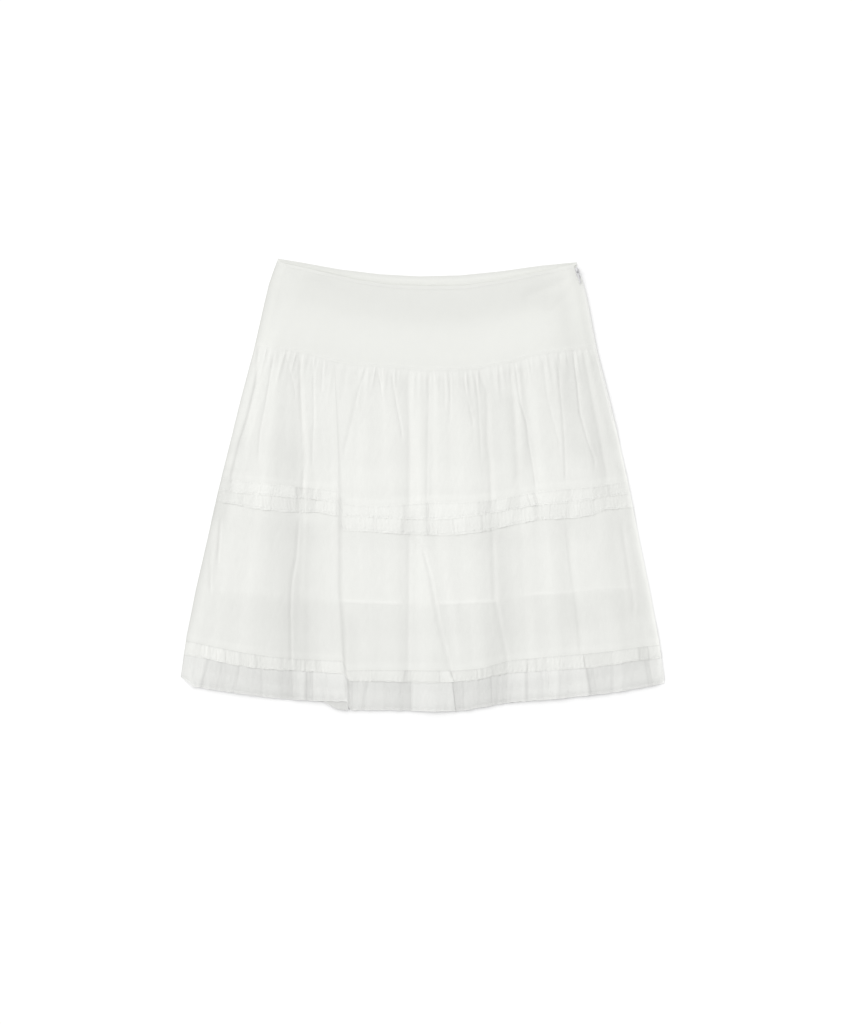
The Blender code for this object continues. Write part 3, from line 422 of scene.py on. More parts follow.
# The hem ruffle's flattened pleats.
RUFFLE_LEFT = pleats(
    (-283, -283, 0.6, 1.03), (-265, -271, 0.9, 1.04), (-251, -260, 0.3, 0.95, 0.06),
    (-234, -241, 0.6, 0.945, 0.04), (-215, -220.5, 0.3, 0.945, 0.06), (-188.5, -188.5, 0.5, 0.965, 0.05),
    (-166, -166, 0.3, 0.95, 0.01), (-152, -152, 1.3, 1.01, 0.05, 2), (-136, -136.5, 0.7, 0.91, 0.07),
    (-128, -128, 0.9, 1), (-111.5, -111.5, 1.3, 1.01, 0.04, 0.8),
)
RUFFLE_RIGHT = pleats(
    (-88, -84, 0.4, 0.88), (-81.5, -81.5, 0.8, 0.94, 0.01), (-65, -70.2, 0.4, 0.95, 0.07),
    (-45, -45, 0.3, 0.915, 0.01), (-27, -27, 0.2, 0.895, 0.01), (-13, -13, 1.2, 0.98, 0.04, 1),
    (34.3, 38.8, 0.2, 0.88, 0.05, 1.6), (48, 48.6, 0.4, 0.93, 0.04), (66, 66, 0.2, 0.915, 0.04),
    (80.5, 81.7, 0.6, 0.965, 0.05), (86.5, 87.7, 0.3, 0.97, 0.03), (99, 99, 1.3, 1.01, 0.05, 1),
    (121, 122, 0.9, 0.975, 0.08), (140, 142, 0.8, 1.015, 0.04), (145.5, 151, 1.1, 1.015, 0.05, 0.8),
    (160, 160.2, 0.8, 0.99, 0.04), (191, 197, 0.2, 0.9, 0.08), (199, 204.5, 0.4, 0.94, 0.01),
    (221.5, 222, 0.3, 0.975, 0.06), (259.5, 265, 0.3, 0.92, 0.03), (264, 270.5, 1, 0.995, 0.06, 1),
)
# The band's frills: small soft pleats.
BAND_UPPER_LEFT = pleats(
    (-244, -245, 0.2, 0.985, 0.012), (-222, -226, 0.5, 1.02, 0.03), (-205, -203, 0.1, 1.04, 0.012),
    (-188, -190, 0.6, 1.055, 0.012), (-176, -174.5, 0.2, 1.04, 0.03), (-166, -168, 0.5, 1.055, 0.012),
    (-148, -147, 0.1, 0.96, 0.07), (-139.5, -139, 0.5, 0.965, 0.012), (-127.5, -128.5, 0.9, 1.01, 0.05),
    (-121, -120, 0.2, 1.02, 0.03),
)
BAND_UPPER_RIGHT = pleats(
    (-90, -90, 0.1, 1.02, 0.012), (-63, -62, 0.5, 1.02, 0.03), (-57.5, -57, 0.1, 1.03, 0.012),
    (-52, -52.5, 0.5, 1.02, 0.03), (-38, -37, 0.2, 1.02, 0.012), (-22.5, -21.5, 0.5, 0.995, 0.05),
    (6, 6, 0.1, 1.02, 0.07), (14, 12.5, 0.4, 1.03, 0.012), (43, 44.5, 0.2, 1.02, 0.012),
    (66, 65, 0.5, 0.97, 0.05), (76, 75, 0.1, 0.965, 0.012), (86.5, 84.5, 0.5, 1.035, 0.03),
    (102, 99, 0.1, 0.985, 0.03), (114, 113, 0.5, 1.02, 0.012), (122, 127, 1.2, 1.04, 0.07),
    (129, 134, 0.1, 1.03, 0.07), (156, 155, 0.4, 1.01, 0.012), (172, 171, 0.1, 1.02, 0.03),
    (186, 187, 0.4, 1, 0.012), (201, 203, 0.1, 0.99, 0.03), (217, 218, 0.5, 1, 0.07),
    (229, 231, 0.2, 1.01, 0.012),
)
BAND_LOWER_LEFT = pleats(
    (-246, -247, 0.2, 0.965, 0.012), (-232, -235, 0.5, 0.99, 0.012), (-213, -211, 0.1, 1.01, 0.03),
    (-196, -199, 0.4, 1.03, 0.012), (-186, -185, 0.7, 1.04, 0.03), (-177, -179, 0.2, 1.02, 0.012),
    (-157, -156, 0.4, 1, 0.03), (-146.5, -146, 0.1, 0.985, 0.07), (-138.5, -139, 0.4, 0.96, 0.012),
    (-127, -125.5, 0.2, 1.015, 0.03), (-112, -113, 0.3, 1.02, 0.012),
)
BAND_LOWER_RIGHT = pleats(
    (-90, -90, 0.1, 1.02, 0.012), (-70, -72, 0.4, 1.03, 0.012), (-56, -55, 0.1, 1.03, 0.03),
    (-42, -43, 0.5, 1.02, 0.012), (-23, -24, 0.2, 0.98, 0.05), (5, 7, 0.4, 1.02, 0.07),
    (20, 19, 0.1, 1.02, 0.012), (35, 37, 0.4, 1.03, 0.03), (52, 51, 0.2, 1.01, 0.012),
    (68, 70, 0.5, 0.99, 0.07), (80, 79, 0.1, 0.99, 0.03), (88, 89, 0.5, 1.02, 0.012),
    (107, 106, 0.2, 1.01, 0.03), (119, 121, 0.6, 1.03, 0.03), (131, 133, 0.1, 0.995, 0.05),
    (150, 149, 0.4, 1.01, 0.012), (168, 170, 0.2, 1.02, 0.03), (184, 183, 0.4, 0.99, 0.012),
    (197, 199, 0.1, 0.99, 0.03), (213, 212, 0.4, 1, 0.03), (230, 231, 0.2, 1.01, 0.012),
)
# The hem frill. Its left part has box pleats, which rise and fall by turns. Their tones are partly their
# layers and partly painted light, more of it on the left, and BOX_SHADE is painted shade where each begins.
BOX_PLEATS = (-258, -249.8, -240.4, -232.2, -222.9, -213.5, -205.3, -196, -186.6)
BOX_SLANT = 0.8
BOX_LEVELS = (0.7, 0.1)
BOX_LAPS = (0.6, 0.0)
BOX_TONES = (1.0, 0.965)
BOX_LIGHT = [(0, 0.08), (1, 0.08), (3, 0.06), (4, 0.01), (8, 0.025)]
BOX_SHADE = 0.05
HEM_FIRST = pleats((-276, -276, 0.2, 1.04))
HEM_NEAR_FOLD = pleats(
    (-165.5, -165, 0.3, 1.02, 0.04), (-156.2, -156.6, 0.7, 1.03, 0.05, 0.6), (-148, -147, 0.3, 1, 0.05),
    (-142.2, -142.6, 0.6, 1.02, 0.06), (-137.5, -137, 0.2, 1, 0.05), (-132.8, -133, 0.5, 1.01, 0.05, 0.6),
    (-124, -123, 0.2, 1, 0.06), (-119, -118, 0.6, 1.04, 0.03),
)
HEM_RIGHT = pleats(
    (-86, -86, 0.1, 0.99), (-60.3, -60, 0.6, 0.99, 0.05, 0.6), (-21, -22, 0.2, 0.93, 0.05),
    (-13, -13, 0.4, 0.99), (20.5, 21, 0.5, 1.05, 0.05), (32.2, 36.9, 0.2, 0.96, 0.05, 0.8),
    (63.8, 64.5, 0.6, 0.97, 0.06), (69, 70, 0.2, 0.96, 0.05), (82, 83, 0.5, 0.97, 0.05),
    (98, 98.5, 0.5, 1, 0.04), (122.3, 122, 0.2, 0.98, 0.05, 0.6), (132.8, 133.4, 0.5, 1, 0.06),
    (142.2, 143, 0.2, 1.02, 0.03), (160, 160, 0.4, 1), (187.8, 190, 0.2, 0.96, 0.05, 0.5),
    (222, 222.4, 0.5, 1.01, 0.04), (252, 254, 0.2, 0.925, 0.04), (264, 266, 0.4, 1.01, 0.05),
)

# The ruffle's layer that shows below the big fold: its foot, its hidden upper edge, its heights at its left
# and right end, and its tone, darkened by painted shade.
FOLD_UNDER = [(-122, -250), (-110.6, -256.5), (-103.5, -261), (-96.5, -262.8), (-91, -263.4), (-87, -263.6)]
FOLD_UNDER_TOP = -236
FOLD_UNDER_LEVEL = (3.0, 3.3)
FOLD_UNDER_PAINTED_SHADE = 0.865


# ---------------------------------------------------------------- small helpers

def smooth(t):
    t = np.clip(t, 0.0, 1.0)
    return t * t * (3 - 2 * t)


def blend(a, b, t):
    return a + (b - a) * t


def bump(distance, width, power=2):
    """A soft bump of height 1 where the distance is 0."""
    return np.exp(-np.abs(distance / width) ** power)


def read_line(points, x):
    return np.interp(x, [p[0] for p in points], [p[1] for p in points])


def uneven(index, low, high):
    """A fixed, uneven value between low and high for this number."""
    return low + (high - low) * ((np.asarray(index) * 0.618034 + 0.37) % 1.0)


def left_side(y):
    return np.interp(y, [s.y for s in SIDES], [s.left for s in SIDES])


def right_side(y):
    return np.interp(y, [s.y for s in SIDES], [s.right for s in SIDES])


def from_side(x, y):
    return np.minimum(x - left_side(y), right_side(y) - x)


def across(x, y):
    """Share of the skirt's width at which a point lies, and that width."""
    width = right_side(y) - left_side(y)
    return (x - left_side(y)) / width, width


def read_table(values, heights, index, y):
    """values[index] at height y, where the columns of values stand at these heights."""
    heights = np.asarray(heights)
    k = np.clip(np.searchsorted(heights, y) - 1, 0, len(heights) - 2)
    t = np.clip((y - heights[k]) / (heights[k + 1] - heights[k]), 0, 1)
    return values[index, k] * (1 - t) + values[index, k + 1] * t


Crumple = namedtuple("Crumple", "height size seed")
Ridge = namedtuple("Ridge", "at width height")


def crumple(x, y, size, seed, waves=14):
    """Soft, uneven crumpling between about -1 and 1, with creases about this size apart."""
    rng = np.random.default_rng(seed)
    total = np.zeros_like(x, dtype=float)
    for _ in range(waves):
        angle = rng.uniform(0, math.pi)
        pitch = size * rng.uniform(0.6, 1.9)
        run = x * math.cos(angle) + y * math.sin(angle)
        wave = np.sin(2 * math.pi * run / pitch + rng.uniform(0, 6.3))
        total += rng.uniform(0.4, 1.0) * (1 - 2 * np.abs(wave) ** 1.4)
    return total / math.sqrt(waves)


def crumpled(x, y, look):
    return look.height * crumple(x, y, look.size, look.seed)


def creased(x, y, creases, down=True):
    """Height of all creases of a list at points x, y. Their paths run down the skirt, or else across it."""
    total = np.zeros_like(x, dtype=float)
    run, off = (y, x) if down else (x, y)
    along, side = (1, 0) if down else (0, 1)
    for path, depth, left, right, fade in creases:
        points = np.array(path, float)
        order = np.argsort(points[:, along])
        distance = off - np.interp(run, points[order, along], points[order, side])
        width = np.where(distance < 0, left, right)
        low, high = points[order[0], along], points[order[-1], along]
        ends = smooth((run - low + fade) / fade) * smooth((high + fade / 3 - run) / fade)
        total -= depth * bump(distance, width) * ends
    return total


# ---------------------------------------------------------------- the stack under the front

def waist_back(x):
    return read_line(WAIST_BACK, x)


def yoke_seam(x):
    return read_line(YOKE_SEAM, x)


def lining_hem(x):
    return read_line(LINING_HEM, x)


def back_band(x):
    return BACK_BAND_MIDDLE + BACK_BAND_LIFT * (x / HALF_AT_BAND) ** 2


def back_hem_foot(x):
    return BACK_HEM_MIDDLE + BACK_HEM_LIFT * (abs(x) / HALF_AT_HEM) ** BACK_HEM_CURVE


def moved(line, up):
    return lambda x: line(x) + up


back_band_top = moved(back_band, BACK_BAND_HALF)
back_band_foot = moved(back_band, -BACK_BAND_HALF)
back_hem_frill_foot = moved(back_hem_foot, BACK_RUFFLE_DEPTH)
back_hem_frill_top = moved(back_hem_frill_foot, HEM_FRILL_DEPTH)
back_ruffle_top = moved(back_hem_frill_foot, RUFFLE_TUCK)


def back_rise(x, y):
    """How far the back's frills lift what lies on them."""
    band = 1 - smooth((np.abs(y - back_band(x)) - BACK_BAND_HALF - FRILL_MARGIN) / FADE)
    above = (y - back_hem_frill_top(x) - FRILL_MARGIN) / FADE
    beneath = (back_hem_frill_foot(x) - RUFFLE_MARGIN - y) / RUFFLE_FADE
    hem = 1 - smooth(np.maximum(above, beneath))
    return FRILL_STEP * np.maximum(band, hem) * blend(SIDE_STEP, 1.0, smooth(from_side(x, y) / SIDE_FADE))


def above_seam(x, y):
    """Middle of the front's cloth with only the back beneath it. At the side seams it comes down on it."""
    return blend(BACK_MID + SEAM_STEP, FRONT_MID, smooth(from_side(x, y) / SEAM_ROLL))


def lining_side(x, y):
    return smooth((from_side(x, y) - LINING_RISE_AT) / LINING_RISE)


def zip_room(x, y):
    inward = right_side(y) - x
    along = smooth((y - ZIP_END + ZIP_ROOM_BELOW) / ZIP_ROOM_FADE)
    return (TAPE_WALL + SEAM_GAP) * along * (1 - smooth((inward - TAPE_WIDTH - ZIP_ROOM_MARGIN) / ZIP_SLOPE))


def front_base(x, y):
    past_hem = lining_hem(x) - y
    lining = LINING_STEP * (lining_side(x, y) * (1 - smooth((past_hem - LINING_DROP_AT) / LINING_DROP)))
    return above_seam(x, y) + back_rise(x, y) + zip_room(x, y) + lining


def slider_notch(y, depth=SLIDER_NOTCH):
    """How far a seam's edge stands back from the slider."""
    past_slider = np.abs(y - SLIDER_AT[1]) - SLIDER_LENGTH / 2 - NOTCH_MARGIN
    return depth * (1 - smooth(past_slider / NOTCH_FADE))


def under_zip(x, y):
    """How far the back's edge comes up to the zip's tape."""
    along = smooth((y - ZIP_END) / UNDER_ZIP_FADE)
    along = along * (1 - smooth((y - SLIDER_AT[1] + UNDER_SLIDER) / UNDER_SLIDER_FADE))
    return UNDER_ZIP * along * (1 - smooth((right_side(y) - x - UNDER_ZIP_REACH) / UNDER_ZIP_FADE))


# ---------------------------------------------------------------- the folded front

def near_fold_edge(i):
    return (i >= FOLD_EDGE - 1) & (i <= FOLD_EDGE + 1)


def fold_x(i, y):
    x = read_table(FOLD_X, FOLD_AT, i, y)
    x = x + np.where(near_fold_edge(i), read_line(EDGE_SHIFT, y), 0.0)
    return np.where(i == 0, left_side(y), np.where(i == LAST, right_side(y), x))


def fold_rise(i, y):
    pressed = np.where(near_fold_edge(i), read_line(FOLD_PRESSED, y), PRESSED)
    return read_table(FOLD_RISE, RISE_AT, i, y) * pressed


def turn(y):
    """The big fold's edge at each height: its angle, the radii of its turns, and its start and end in x."""
    y = np.asarray(y, float)
    edge, foot = np.full(y.shape, FOLD_EDGE), np.full(y.shape, FOLD_EDGE + 1)
    drop = fold_rise(edge, y) - fold_rise(foot, y)
    angle = read_line(TURN_ANGLE, y)
    both = drop / (1 - np.cos(angle))
    out, back = both * TURN_OUT_SHARE, both * (1 - TURN_OUT_SHARE)
    start = fold_x(edge, y) - out * np.sin(angle)
    return angle, out, back, start, start + both * np.sin(angle)


def column_x(i, y):
    angle, out, back, start, end = turn(y)
    return np.where(i == FOLD_EDGE, start, np.where(i == FOLD_EDGE + 1, end, fold_x(i, y)))


def line_ends(line):
    """Height of a line across the front at each whole column."""
    whole = np.arange(LAST + 1)
    runs = [line] * len(whole)
    if isinstance(line, Line):
        runs = [line.left if i <= FOLD_EDGE else line.right for i in whole]
    ends = np.array([run[0][1] for run in runs], float)
    for _ in range(3):
        x = column_x(whole, ends)
        ends = np.array([read_line(run, xi) for run, xi in zip(runs, x)])
    return ends


def line_y(line, s):
    """Height of a line across the front at columns s."""
    return np.interp(s, np.arange(LAST + 1), line_ends(line))


# Fine gathers that spring from the yoke seam: uneven in place, width, height, length and lean.
GATHERS = 90
GATHER_NUMBER = np.arange(GATHERS)
GATHER_AT = (GATHER_NUMBER + uneven(GATHER_NUMBER, -0.3, 0.3) + 0.5) / GATHERS
GATHER_WIDTH = uneven(GATHER_NUMBER + 3, 1.0, 2.1)
GATHER_HEIGHT = uneven(GATHER_NUMBER + 9, 0.2, 0.7)
GATHER_LENGTH = uneven(GATHER_NUMBER * 3 + 1, 14.0, 62.0)
GATHER_LEAN = uneven(GATHER_NUMBER * 7 + 2, -0.07, 0.07)
GATHERS_END = 90
GATHER_SPREAD = 60
GATHER_START = 0.35
GATHER_GROWTH = 7
GATHER_FADE_AT = 4
GATHER_POWER = 1.7


def fine_gathers(x, y, drop):
    """Sharp little ridges. drop is the distance below the yoke seam."""
    share, width = across(x, y)
    growth = blend(GATHER_START, 1.0, smooth(drop / GATHER_GROWTH))
    total = np.zeros_like(x, dtype=float)
    for at, half, height, length, lean in zip(GATHER_AT, GATHER_WIDTH, GATHER_HEIGHT, GATHER_LENGTH,
                                              GATHER_LEAN):
        off = (share - at) * width - lean * drop
        spread = half * (1 + drop / GATHER_SPREAD)
        grown = growth * (1 - smooth((drop - GATHER_FADE_AT) / length))
        total += height * grown * bump(off, spread, GATHER_POWER)
    return total


# The folds are closed to this share at the yoke seam and open below it. Small creases die out at the big
# fold's edge and at the side seams.
OPEN_AT_SEAM = 0.3
OPENING = 12
EDGE_WIDTH = 5
CREASE_SIDE = 6
COTTON_CRUMPLE = Crumple(0.07, 11.0, 5)


def front_mid(s, y):
    """(x, z) of the middle of the front's cloth."""
    i = np.minimum(s.astype(int), LAST - 1)
    t = s - i
    angle, out_radius, back_radius, start, end = turn(y)
    left = np.where(i == FOLD_EDGE + 1, end, fold_x(i, y))
    right = np.where(i + 1 == FOLD_EDGE, start, fold_x(i + 1, y))
    x = blend(left, right, t)
    drop = np.maximum(line_y(YOKE_SEAM, s) - y, 0.0)
    opened = blend(OPEN_AT_SEAM, 1.0, smooth(drop / OPENING))
    rise = blend(fold_rise(i, y), fold_rise(i + 1, y), (1 - np.cos(np.pi * t)) / 2) * opened
    z = front_base(x, y) + rise

    total = 2 * angle * t
    out = np.minimum(total, angle)
    left_over = angle - (total - out)
    turn_x = start + out_radius * np.sin(out) + back_radius * (np.sin(angle) - np.sin(left_over))
    top = front_base(start, y) + fold_rise(np.full(y.shape, FOLD_EDGE), y) * opened
    fall = out_radius * (1 - np.cos(out)) + back_radius * (np.cos(left_over) - np.cos(angle))
    turn_z = top - opened * fall + (front_base(end, y) - front_base(start, y)) * t
    in_turn = i == FOLD_EDGE
    x, z = np.where(in_turn, turn_x, x), np.where(in_turn, turn_z, z)

    small = fine_gathers(x, y, drop) * (drop < GATHERS_END) + creased(x, y, TIER_CREASES)
    small = small + crumpled(x, y * 0.5, COTTON_CRUMPLE)
    near_turn = bump(x - (start + end) / 2, EDGE_WIDTH)
    return x, z + small * (1 - near_turn) * smooth(from_side(x, y) / CREASE_SIDE)


def columns(spacing, turn_steps=TURN_STEPS):
    """Columns of the front about this far apart, in millimetres."""
    values = []
    for i in range(LAST):
        width = abs(FOLD_X[i + 1, 1] - FOLD_X[i, 1])
        n = turn_steps if i == FOLD_EDGE else max(3, round(width / spacing))
        values += [i + k / n for k in range(n)]
    return np.array(values + [float(LAST)])


def front_grid(cols, heights, out=0.0):
    """Points of the front at columns s and rows of heights y, moved off it by a distance. Over the big
    fold's edge they are moved to its right too."""
    y = np.array(heights)
    s = np.broadcast_to(cols, y.shape)
    x, z = front_mid(s, y)
    # In columns: it begins a little before the edge, and dies out past its foot.
    before, grow, fade = 0.1, 0.25, 0.4
    past_edge = smooth((s - FOLD_EDGE + before) / grow) * (1 - smooth((s - FOLD_EDGE - 1) / fade))
    return np.stack([x + out * past_edge, y, z + out], axis=-1)


def shaded(grid, tone=1.0):
    """A front piece's tones with painted light and shade added: painted shade along its left side and painted
    light along its right side, each with a narrow painted rim, and the soft bands of painted shade.
    """
    x, y = grid[..., 0], grid[..., 1]
    from_left, from_right = x - left_side(y), right_side(y) - x
    edge = EDGE_SHADE * bump(from_left, EDGE_REACH)
    edge = edge - read_line(EDGE_LIGHT, y) * bump(from_right, EDGE_REACH)
    edge = edge + RIM_SHADE * bump(from_left, RIM_REACH) - RIM_LIGHT * bump(from_right, RIM_LIGHT_REACH)
    return tone * (1 - edge + creased(x, y, PAINTED_SHADES))


# ---------------------------------------------------------------- meshes

def new_object(name, data):
    obj = bpy.data.objects.new(name, data)
    bpy.context.scene.collection.objects.link(obj)
    return obj


def add_mesh(name, points, faces, material, attributes=()):
    mesh = bpy.data.meshes.new(name)
    mesh.from_pydata((points * MM).tolist(), [], faces)
    mesh.materials.append(material)
    for key, values in attributes:
        layer = mesh.attributes.new(key, "FLOAT", "POINT")
        layer.data.foreach_set("value", np.asarray(values, np.float32).ravel())
    mesh.shade_smooth()
    return new_object(name, mesh)


def ring_faces(first, rings, n):
    """Faces of a closed solid made of rings of n points each, the first one numbered first."""
    last = first + (rings - 1) * n
    faces = [[r + k, r + (k + 1) % n, r + n + (k + 1) % n, r + n + k]
             for r in range(first, last, n) for k in range(n)]
    return faces + [list(range(first, first + n))[::-1], list(range(last, last + n))]


def turn_faces_out(mesh):
    bm = bmesh.new()
    bm.from_mesh(mesh)
    bmesh.ops.recalc_face_normals(bm, faces=bm.faces)
    bm.to_mesh(mesh)
    bm.free()


def set_sharp(mesh, degrees):
    mesh.set_sharp_from_angle(angle=math.radians(degrees))


def shell(name, grid, thickness, material, tone=1.0):
    """A closed thin cloth round a grid of middle points, in millimetres. thickness may vary by row."""
    rows, cols = grid.shape[:2]
    normal = np.cross(np.gradient(grid, axis=0), np.gradient(grid, axis=1))
    normal /= np.linalg.norm(normal, axis=2, keepdims=True) + 1e-12
    if normal[..., 2].mean() < 0:
        normal = -normal
    half = np.broadcast_to(np.asarray(thickness, float) / 2, (rows, cols))[..., None]
    points = np.concatenate([(grid + normal * half).reshape(-1, 3), (grid - normal * half).reshape(-1, 3)])
    index = np.arange(rows * cols).reshape(rows, cols)
    quads = np.stack([index[:-1, :-1], index[1:, :-1], index[1:, 1:], index[:-1, 1:]], axis=-1).reshape(-1, 4)
    rim = np.concatenate([index[0], index[1:, -1], index[-1, -2::-1], index[-2:0:-1, 0]])
    after = np.roll(rim, -1)
    lower = rows * cols
    sides = np.stack([rim, after, after + lower, rim + lower], axis=1)
    faces = np.concatenate([quads, quads[:, ::-1] + lower, sides])
    if np.cross(grid[1, 0] - grid[0, 0], grid[0, 1] - grid[0, 0])[2] < 0:
        faces = faces[:, ::-1]
    tone = np.broadcast_to(tone, (rows, cols)).ravel()
    obj = add_mesh(name, points, faces.tolist(), material, [("tone", np.concatenate([tone, tone]))])
    set_sharp(obj.data, 70)
    return obj


# Stitches: their pitch and gap, the thread's radius, and how far each rises off the cloth. Each is thickest
# in its middle: it follows a sine between STITCH_ENDS.
STITCH_PITCH = 2.6
STITCH_GAP = 0.7
STITCH_RADIUS = 0.17
STITCH_LIFT = 0.1
STITCH_STEPS = (0.0, 0.12, 0.5, 0.88, 1.0)
STITCH_SIDES = 5
STITCH_ENDS = (0.12, 0.88)
STITCH_AHEAD = 0.3
UP = np.array([0.0, 0.0, 1.0])


def thread_line(name, path, material, pitch):
    """Stitches along a path of points, as one joined mesh."""
    lengths = np.concatenate([[0], np.cumsum(np.linalg.norm(np.diff(path, axis=0), axis=1))])

    def along(at):
        return np.array([np.interp(at, lengths, path[:, a]) for a in range(3)])

    points, faces = [], []
    for k in range(max(2, int(lengths[-1] / pitch))):
        base = len(points)
        for t in STITCH_STEPS:
            at = k * pitch + STITCH_GAP / 2 + t * (pitch - STITCH_GAP)
            centre = along(at)
            ahead = along(at + STITCH_AHEAD) - centre
            side = np.array([-ahead[1], ahead[0], 0.0])
            side /= np.linalg.norm(side) + 1e-9
            swell = math.sin(math.pi * blend(*STITCH_ENDS, t)) ** 0.5
            centre = centre + UP * (STITCH_LIFT * swell)
            for a in range(STITCH_SIDES):
                angle = 2 * math.pi * a / STITCH_SIDES
                offset = side * math.cos(angle) + UP * math.sin(angle)
                points.append(centre + offset * STITCH_RADIUS * swell)
        faces += ring_faces(base, len(STITCH_STEPS), STITCH_SIDES)
    obj = add_mesh(name, np.array(points), faces, material)
    turn_faces_out(obj.data)
    return obj


# ---------------------------------------------------------------- materials

class Nodes:
    """Short calls for building a material's nodes."""

    def __init__(self, name):
        self.material = bpy.data.materials.new(name)
        self.material.use_nodes = True
        self.tree = self.material.node_tree
        self.shader = self.tree.nodes["Principled BSDF"]
        self.place = self.add("ShaderNodeTexCoord").outputs["Object"]

    def add(self, kind, inputs=(), **settings):
        node = self.tree.nodes.new(kind)
        for key, value in settings.items():
            setattr(node, key, value)
        for key, value in dict(inputs).items():
            if isinstance(value, bpy.types.NodeSocket):
                self.tree.links.new(value, node.inputs[key])
            else:
                node.inputs[key].default_value = value
        return node

    def math(self, operation, a, b=0.0, c=0.0):
        return self.add("ShaderNodeMath", {0: a, 1: b, 2: c}, operation=operation).outputs[0]

    def noise(self, scale, detail):
        """Noise at this scale, or at a scale for each axis."""
        vector = self.place
        if isinstance(scale, tuple):
            vector = self.add("ShaderNodeMapping", {"Vector": vector, "Scale": scale}).outputs[0]
            scale = 1.0
        inputs = {"Vector": vector, "Scale": scale, "Detail": detail}
        return self.add("ShaderNodeTexNoise", inputs).outputs["Fac"]

    def relief(self, height, strength, distance):
        node = self.add("ShaderNodeBump", {"Height": height, "Strength": strength, "Distance": distance})
        self.link(node.outputs[0], "Normal")

    def tinted(self, colour, tone):
        node = self.add("ShaderNodeVectorMath", {0: colour, "Scale": tone}, operation="SCALE")
        self.link(node.outputs[0], "Base Color")

    def link(self, socket, name):
        self.tree.links.new(socket, self.shader.inputs[name])

    def set(self, **values):
        """Numbers and colours of the shader, such as Sheen_Weight for its socket Sheen Weight."""
        for key, value in values.items():
            self.shader.inputs[key.replace("_", " ")].default_value = value


def cotton(name, colour, thread, relief, slub, variation, see_through=0.0):
    """Plain-weave cotton. thread is the weave's pitch in millimetres. Noise scales are for metres."""
    n = Nodes(name)
    turns = 2 * math.pi / (thread * MM)
    split = n.add("ShaderNodeSeparateXYZ", {0: n.place})
    drift = n.math("MULTIPLY", n.noise(160.0, 2.0), 3.0)
    warp = n.math("SINE", n.math("ADD", n.math("MULTIPLY", split.outputs["X"], turns), drift))
    weft = n.math("SINE", n.math("ADD", n.math("MULTIPLY", split.outputs["Y"], turns), drift))
    weave = n.math("ABSOLUTE", n.math("MULTIPLY", warp, weft))
    slubs = n.math("ADD", n.noise((110.0, 1500.0, 400.0), 3.0), n.noise((1500.0, 110.0, 400.0), 3.0))
    height = n.math("ADD", n.math("MULTIPLY", weave, 0.5), n.math("MULTIPLY", slubs, slub))
    n.relief(height, relief, 0.00025)

    clouds = n.math("ADD", n.noise(38.0, 3.0), n.noise((150.0, 55.0, 100.0), 2.0))
    cloud_tone = n.math("MULTIPLY_ADD", n.math("SUBTRACT", clouds, 1.0), variation, 1.0)
    slub_share = 0.45
    thread_tone = n.math("MULTIPLY_ADD", n.math("SUBTRACT", slubs, 1.0), variation * slub_share, cloud_tone)
    # The tone attribute holds the cloth's own whiteness together with painted light and shade.
    tone = n.add("ShaderNodeAttribute", attribute_name="tone", attribute_type="GEOMETRY").outputs["Fac"]
    n.tinted(colour, n.math("MULTIPLY", tone, thread_tone))
    roughness, unevenness = 0.85, 0.08
    n.link(n.math("MULTIPLY_ADD", slubs, unevenness, roughness - unevenness), "Roughness")
    n.set(Sheen_Weight=0.25, Sheen_Roughness=0.5, Specular_IOR_Level=0.25, Alpha=1.0 - see_through)
    return n.material


def sewing_thread(name, colour):
    n = Nodes(name)
    twist = n.add("ShaderNodeTexWave", {"Vector": n.place, "Scale": 2600.0, "Distortion": 1.0},
                  bands_direction="DIAGONAL").outputs["Fac"]
    n.relief(twist, 0.3, 0.0001)
    n.tinted(colour, n.math("MULTIPLY_ADD", twist, 0.05, 0.97))
    n.set(Roughness=0.6, Sheen_Weight=0.2)
    return n.material


def metal(name, colour, roughness, metallic):
    """Small plated zinc parts, with fine scratches and a blotchy tone."""
    n = Nodes(name)
    scratch = n.noise((9000.0, 900.0, 3000.0), 4.0)
    n.relief(scratch, 0.25, 0.00005)
    n.tinted(colour, n.math("MULTIPLY_ADD", n.noise(700.0, 3.0), 0.25, 0.87))
    n.link(n.math("MULTIPLY_ADD", scratch, 0.2, roughness - 0.1), "Roughness")
    n.set(Metallic=metallic)
    return n.material


def paper(name, white, glow):
    """The floor: matt white paper."""
    n = Nodes(name)
    n.relief(n.noise(900.0, 2.0), 0.03, 0.0002)
    n.set(Base_Color=(white, white, white, 1.0), Emission_Color=(1.0, 1.0, 1.0, 1.0), Emission_Strength=glow,
          Roughness=1.0, Specular_IOR_Level=0.0)
    return n.material


# ---------------------------------------------------------------- pieces of the front

# Rows of a strip where its stitches run.
TOP_ROW = 1
HEM_ROW = -4


def put_on(obj, slot, *nodes, body=SKIRT):
    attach(obj, body)
    if nodes:
        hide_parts(*nodes)
    return obj


def stitch(name, grid, row, thickness, m, slot="frill_cotton", pitch=STITCH_PITCH):
    """Stitches along one row of a grid, on top of its cloth."""
    path = grid[row, 2:-2].copy()
    path[:, 2] += thickness / 2
    put_on(thread_line(name, path, m["thread"], pitch), slot)


# The yoke's rows, as shares of its depth from the waist down, closer together at its seams, the two rows that
# are stitched, and its columns.
YOKE_ROWS = np.concatenate([np.linspace(0, 0.05, 5), np.linspace(0.08, 0.92, 26), np.linspace(0.94, 1.0, 7)])
YOKE_SEAM_ROW = -4
WAIST_ROW = 3
YOKE_SPACING = 2.2
YOKE_TURN_STEPS = 6
YOKE_CRUMPLE = Crumple(0.05, 26.0, 3)
# Stitched ridges along its lower seam and its waist: how far in from it, how wide and how high.
FOOT_RIDGE = Ridge(2.0, 2.2, 0.22)
WAIST_RIDGE = Ridge(1.5, 3.0, 0.15)
RIDGE_SIDE = 8


